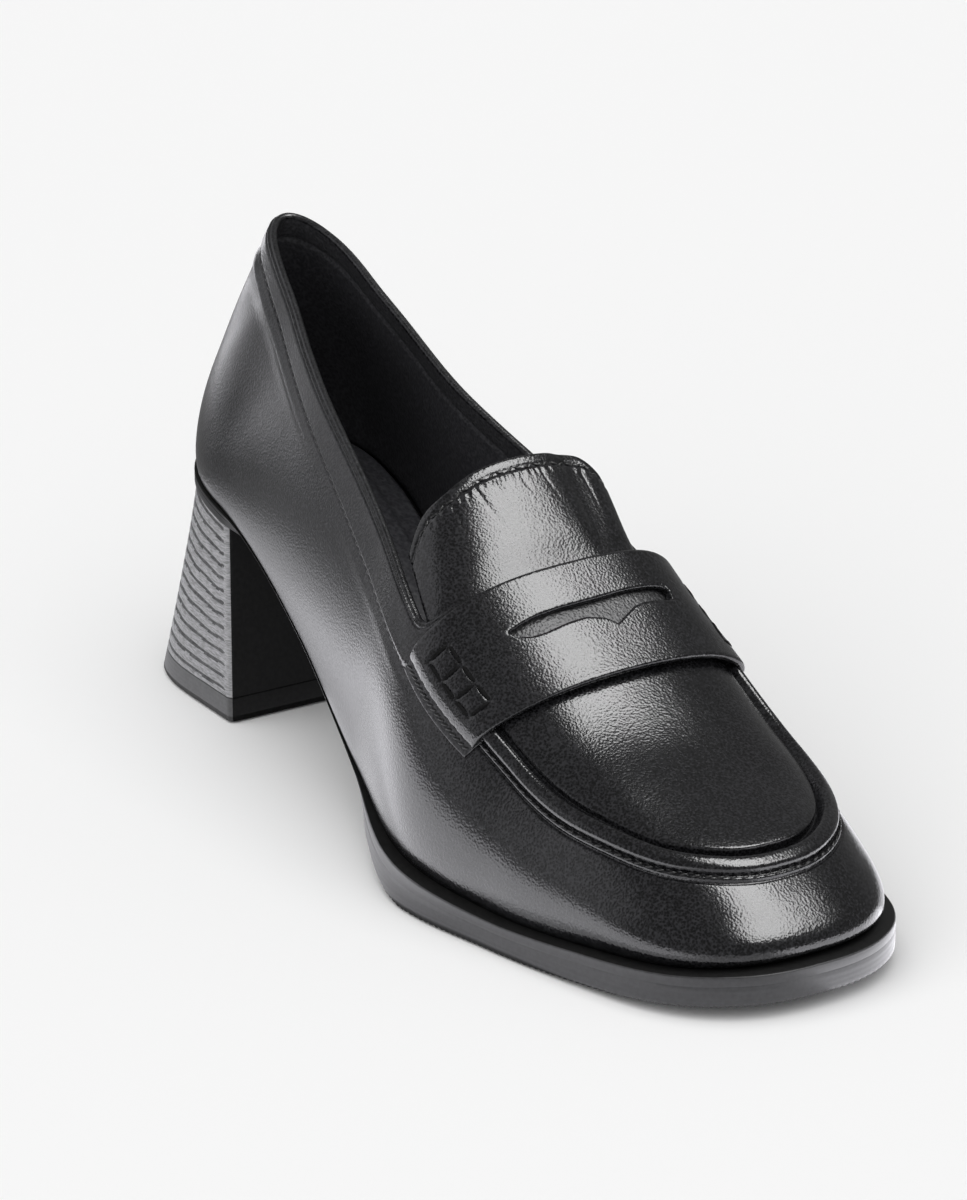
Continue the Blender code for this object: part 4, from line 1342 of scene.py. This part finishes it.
levels = np.linspace(0, 1, HEEL_LEVELS)[:, None]
share_at_floor = 1 - TOP_PIECE / HEEL_HEIGHT
plans = np.array([heel_plan(share) for share in share_at_floor * levels[:, 0] ** HEEL_FLARE_POWER])
seat = sole_bottom(plans[0, :, 0]) - SOLE_GAP * 0.3
ground = TOP_PIECE + SOLE_GAP * 0.3
heights = seat + (ground - seat) * levels
heel_points = plans.shape[1]
around = np.linspace(0, 2 * np.pi, heel_points, endpoint=False)
wave = LIFT_WAVE * (np.sin(4 * around + 1.0) + 0.5 * np.sin(13 * around)) / (HEEL_HEIGHT / LIFTS)
phase = levels * LIFTS + wave * np.sin(np.pi * levels)
from_back = np.minimum(np.arange(heel_points), heel_points - np.arange(heel_points))
to_corner = BACK_POINTS + SIDE_POINTS - from_back
groove = hump(phase % 1.0, 0.5, LIFT_GROOVE_WIDTH) * smooth(to_corner, 0, GROOVE_FADE)
way = np.roll(plans, -1, axis=1) - np.roll(plans, 1, axis=1)
inward = unit(np.stack((-way[..., 1], way[..., 0]), -1))
plans = plans + inward * (LIFT_GROOVE * groove)[..., None]
rings = np.concatenate((plans, heights[..., None]), axis=-1)
finish = np.where(to_corner < -BREAST_PAST, BREAST, np.where(groove > LINE_FROM, LIFT_LINE, COVER))[:-1]
ring_solid("heel_block_skin", rings, (heel_cover_painted_light, heel_breast, lift_line), "heel_block",
           finish, sharp=50)
print("heel has", LIFTS, "lifts")

# %% [markdown]
# ## The top piece
#
# The heel stands on a wear piece of harder rubber, cut to the heel's outline and dressed flush with it. It
# goes on with the heel's own flare, so it is six rings of the same outline, with a small round at its edges.

# %% Top piece
# Each ring from the top to the floor: share of the height, inset, share of the flare.
TOP_SIDE = (
    (1.0, 1.0, 0.0), (1.0, 0.25, 0.0), (0.95, 0.0, 0.05), (0.12, 0.0, 1.0), (0.03, 0.2, 1.0), (0.0, 0.6, 1.0),
)
rings = []
for height, inset, part in TOP_SIDE:
    plan = heel_plan(share_at_floor + (1 - share_at_floor) * part, inset)
    rings.append(np.column_stack((plan, np.full(len(plan), TOP_PIECE * height))))
finish = np.where(to_corner < -BREAST_PAST, BREAST, COVER)
finish = np.broadcast_to(finish, (len(rings) - 1, heel_points))
ring_solid("top_piece_skin", np.array(rings), (top_rubber, heel_breast), "top_piece",
           finish)

# %% [markdown]
# ## The insole sock
#
# Inside, a thin leather sock covers the board. A soft pad under the heel and arch shows as a faint line a
# few millimetres in from the edge. The sock is a grid from the lateral to the medial side, and the pad is
# a small step in its height.

# %% Insole sock
INSOLE = table("x inset", (0.0, 2.6), (150.0, 2.6), (200.0, 3.4), (232.4, 5.0))
INSOLE_THICKNESS, SOCK_ROUNDING, SOCK_EDGE = 2.0, 1.2, 0.3
PAD_RISE, PAD_INSET, PAD_EDGE, PAD_END, PAD_END_EDGE = 0.7, 7.0, 1.2, 120.0, 1.5
INSOLE_HALF, INSOLE_ACROSS = 150, 60

insole_u = side_columns(INSOLE_HALF)
border = plan_ring(insole_u, -curve(station(insole_u), INSOLE, "inset"))
lateral = border[:INSOLE_HALF + 1]
medial = border[(-np.arange(INSOLE_HALF + 1)) % len(border)]
t = packed_steps(INSOLE_ACROSS, (0.0, 0.006, 0.02))[None, :, None]
plan = lateral[:, None] * (1 - t) + medial[:, None] * t
width = np.linalg.norm(medial - lateral, axis=1)[:, None]
in_from_edge = np.minimum(t[..., 0], 1 - t[..., 0]) * width
in_from_edge = np.minimum(in_from_edge, plan[..., 0] - INSOLE["inset"][0])
pad_end = 1 - smooth(plan[..., 0], PAD_END - PAD_END_EDGE, PAD_END)
pad = PAD_RISE * smooth(in_from_edge, PAD_INSET - PAD_EDGE, PAD_INSET) * pad_end
board = curve(plan[..., 0], LAST, "feather")
round_edge = half_thickness(in_from_edge, 2 * INSOLE_THICKNESS, SOCK_ROUNDING) / INSOLE_THICKNESS
sock_height = board + INSOLE_THICKNESS * (SOCK_EDGE + (1 - SOCK_EDGE) * round_edge) + pad
sock = np.stack([np.concatenate((plan, height[..., None]), axis=-1) for height in (sock_height, board)])
index = numbered(board.shape)
index[0], index[-1] = index[0, 0], index[-1, 0]
under = index + board.size
rim_top = np.concatenate((index[:, 0], index[::-1, -1]))
rim_under = np.concatenate((under[:, 0], under[::-1, -1]))
sock_quads = np.concatenate((cells(index), cells(under)[:, ::-1], cells(np.stack((rim_under, rim_top), 1))))
sock_leather = leather(
    "insole_sock", (0.042, 0.042, 0.047), (0.078, 0.078, 0.085), rough=0.5, grain=0.25, cell=0.0009, coat=0.1)
add_piece("insole_sock", sock, sock_quads, (sock_leather,), "insole", sharp=50)

# %% [markdown]
# ## The floor
#
# The shoe stands on a near-white sweep of paper. A wide flat grid is enough for it. It is matt, and it
# lies a hair below the sole, so the two never share a plane.

# %% Floor
FLOOR_HALF, FLOOR_LINES = 4.0, 9
FLOOR_DROP = 0.0003


def floor_material():
    """Pale paper: almost one tone, with a very faint slow change and a matt surface."""
    material, tree, shader, place = fresh_material("floor_paper")
    slow = texture(tree, place, "ShaderNodeTexNoise", Scale=0.8, Detail=1.0)
    stops = ((0.3, (0.90, 0.90, 0.90)), (0.7, (0.915, 0.915, 0.915)))
    tree.links.new(ramp(tree, slow.outputs["Fac"], stops), shader.inputs["Base Color"])
    shader.inputs["Roughness"].default_value = 0.9
    shader.inputs["Specular IOR Level"].default_value = 0.1
    return material


side = np.linspace(-FLOOR_HALF, FLOOR_HALF, FLOOR_LINES)
floor_points = np.stack(np.meshgrid(side, side, -FLOOR_DROP, indexing="ij"), -1).reshape(-1, 3)
floor_mesh = bpy.data.meshes.new("floor")
floor_mesh.from_pydata(floor_points.tolist(), [], cells(numbered((FLOOR_LINES, FLOOR_LINES))).tolist())
floor_mesh.materials.append(floor_material())
floor = bpy.data.objects.new("floor", floor_mesh)
bpy.context.scene.collection.objects.link(floor)
floor.visible_glossy = False
print("floor is", 2 * FLOOR_HALF, "m wide")


# %% [markdown]
# ## Light
#
# Black leather is seen almost only by what it mirrors, so each mirrored thing is a lamp of its own here. A
# square softbox overhead makes the crisp patches on strap, plug and toe. Low glows stand for the bright
# floor that the quarters, the toe and the sole's wall mirror, and a dim wall lifts the side. None of them
# lights the paper: a wide soft sun does that evenly, and it isn't seen in the gloss.

# %% Lamp helpers
def direction(azimuth, elevation):
    """Unit vector from its azimuth in the floor plane, from +X to +Y, and its elevation, in degrees."""
    a, e = np.radians(azimuth), np.radians(elevation)
    return np.array((np.cos(a) * np.cos(e), np.sin(a) * np.cos(e), np.sin(e)))


def aim(thing, place, target):
    """Puts a lamp or camera at a place, its -Z axis towards the target and its Y axis upwards."""
    back = unit(np.array(place, float) - np.array(target, float))
    right = unit(np.cross((0.0, 0.0, 1.0), back))
    turned = np.eye(4)
    turned[:3, :3] = np.column_stack((right, np.cross(back, right), back))
    turned[:3, 3] = place
    thing.matrix_world = Matrix(turned.tolist())


def softbox(name, place, target, width, height, radiance, colour):
    """Square area light from a place towards a target. Its power is the radiance times pi times its area."""
    lamp = bpy.data.lights.new(name, "AREA")
    lamp.shape, lamp.size, lamp.size_y = "RECTANGLE", width, height
    lamp.energy, lamp.color = radiance * np.pi * width * height, colour
    made = bpy.data.objects.new(name, lamp)
    bpy.context.scene.collection.objects.link(made)
    aim(made, place, target)
    made.visible_diffuse = False
    made.visible_camera = False


print("sweep light comes from", np.round(direction(-55.0, 64.0), 2))

# %% Lights
WHITE, COOL = (1.0, 1.0, 1.0), (0.98, 0.975, 1.02)
DOWN, UP = (0.0, 0.0001, -1.24), (0.0, -0.0001, 0.999)
# Each level lamp: name, place, way it faces, width, height, radiance, colour.
LEVEL_LAMPS = (
    ("softbox_top", (0.30, 0.38, 1.24), DOWN, 0.60, 0.62, 14.5, WHITE),
    ("softbox_front", (0.96, 0.47, 1.24), DOWN, 0.72, 0.86, 14.0, WHITE),
    ("floor_glow", (0.115, -0.08, 0.001), UP, 0.67, 0.46, 1.35, COOL),
    ("floor_glow_near", (0.0, -0.135, 0.002), UP, 0.30, 0.17, 2.2, COOL),
    ("floor_glow_far", (-1.1, 0.05, 0.001), UP, 1.0, 0.8, 3.2, COOL),
    ("floor_glow_toe", (0.18, 0.09, 0.001), UP, 0.16, 0.16, 3.0, COOL),
)
SUN_STRENGTH, SUN_SPREAD, ROOM_STRENGTH = 2.7, 100.0, 0.25

for name, place, way, width, height, radiance, colour in LEVEL_LAMPS:
    softbox(name, place, np.add(place, way), width, height, radiance, colour)
softbox("room_wall", (-1.09, -1.17, 0.72), (0.0, 0.0, 0.05), 2.0, 1.4, 0.75, COOL)
sun = bpy.data.lights.new("sweep_light", "SUN")
sun.energy, sun.angle = SUN_STRENGTH, np.radians(SUN_SPREAD)
sweep = bpy.data.objects.new("sweep_light", sun)
bpy.context.scene.collection.objects.link(sweep)
aim(sweep, 2.0 * direction(-55.0, 64.0), (0.0, 0.0, 0.0))
sweep.visible_glossy = False

world = bpy.context.scene.world or bpy.data.worlds.new("room")
bpy.context.scene.world = world
world.use_nodes = True
background = world.node_tree.nodes["Background"]
background.inputs["Color"].default_value = (1.0, 1.0, 1.0, 1.0)
background.inputs["Strength"].default_value = ROOM_STRENGTH
bpy.context.scene.view_settings.view_transform = "Standard"
print(len(LEVEL_LAMPS) + 2, "lamps set")

# %% [markdown]
# ## The camera
#
# The view was fitted to points on the sole, heel and strap, with a long lens from well over a metre away.
# The camera keeps that place. It is turned and its lens is longer, so that the shoe fills the frame.

# %% Camera
CAMERA_AZIMUTH, CAMERA_ELEVATION, CAMERA_DISTANCE = 56.16, 20.82, 1365.3
CAMERA_TARGET = np.array((62.75, 80.26, 40.0))
AIM_POINT = np.array((112.0, 0.0, 51.0))
PHOTO_LENS, CLOSER, SENSOR = 124.73, 1.38, 36.0

lens = bpy.data.cameras.new("camera")
lens.sensor_fit, lens.sensor_height, lens.lens = "VERTICAL", SENSOR, PHOTO_LENS * CLOSER
camera = bpy.data.objects.new("camera", lens)
bpy.context.scene.collection.objects.link(camera)
stand = CAMERA_TARGET + CAMERA_DISTANCE * direction(CAMERA_AZIMUTH - 90.0, CAMERA_ELEVATION)
aim(camera, (stand + SHIFT) * MM, (AIM_POINT + SHIFT) * MM)
bpy.context.scene.camera = camera
print("lens", round(lens.lens, 1), "mm")

# %% [markdown]
# ## Finish
#
# The view layer is brought up to date last.

# %% Finish
bpy.context.view_layer.update()
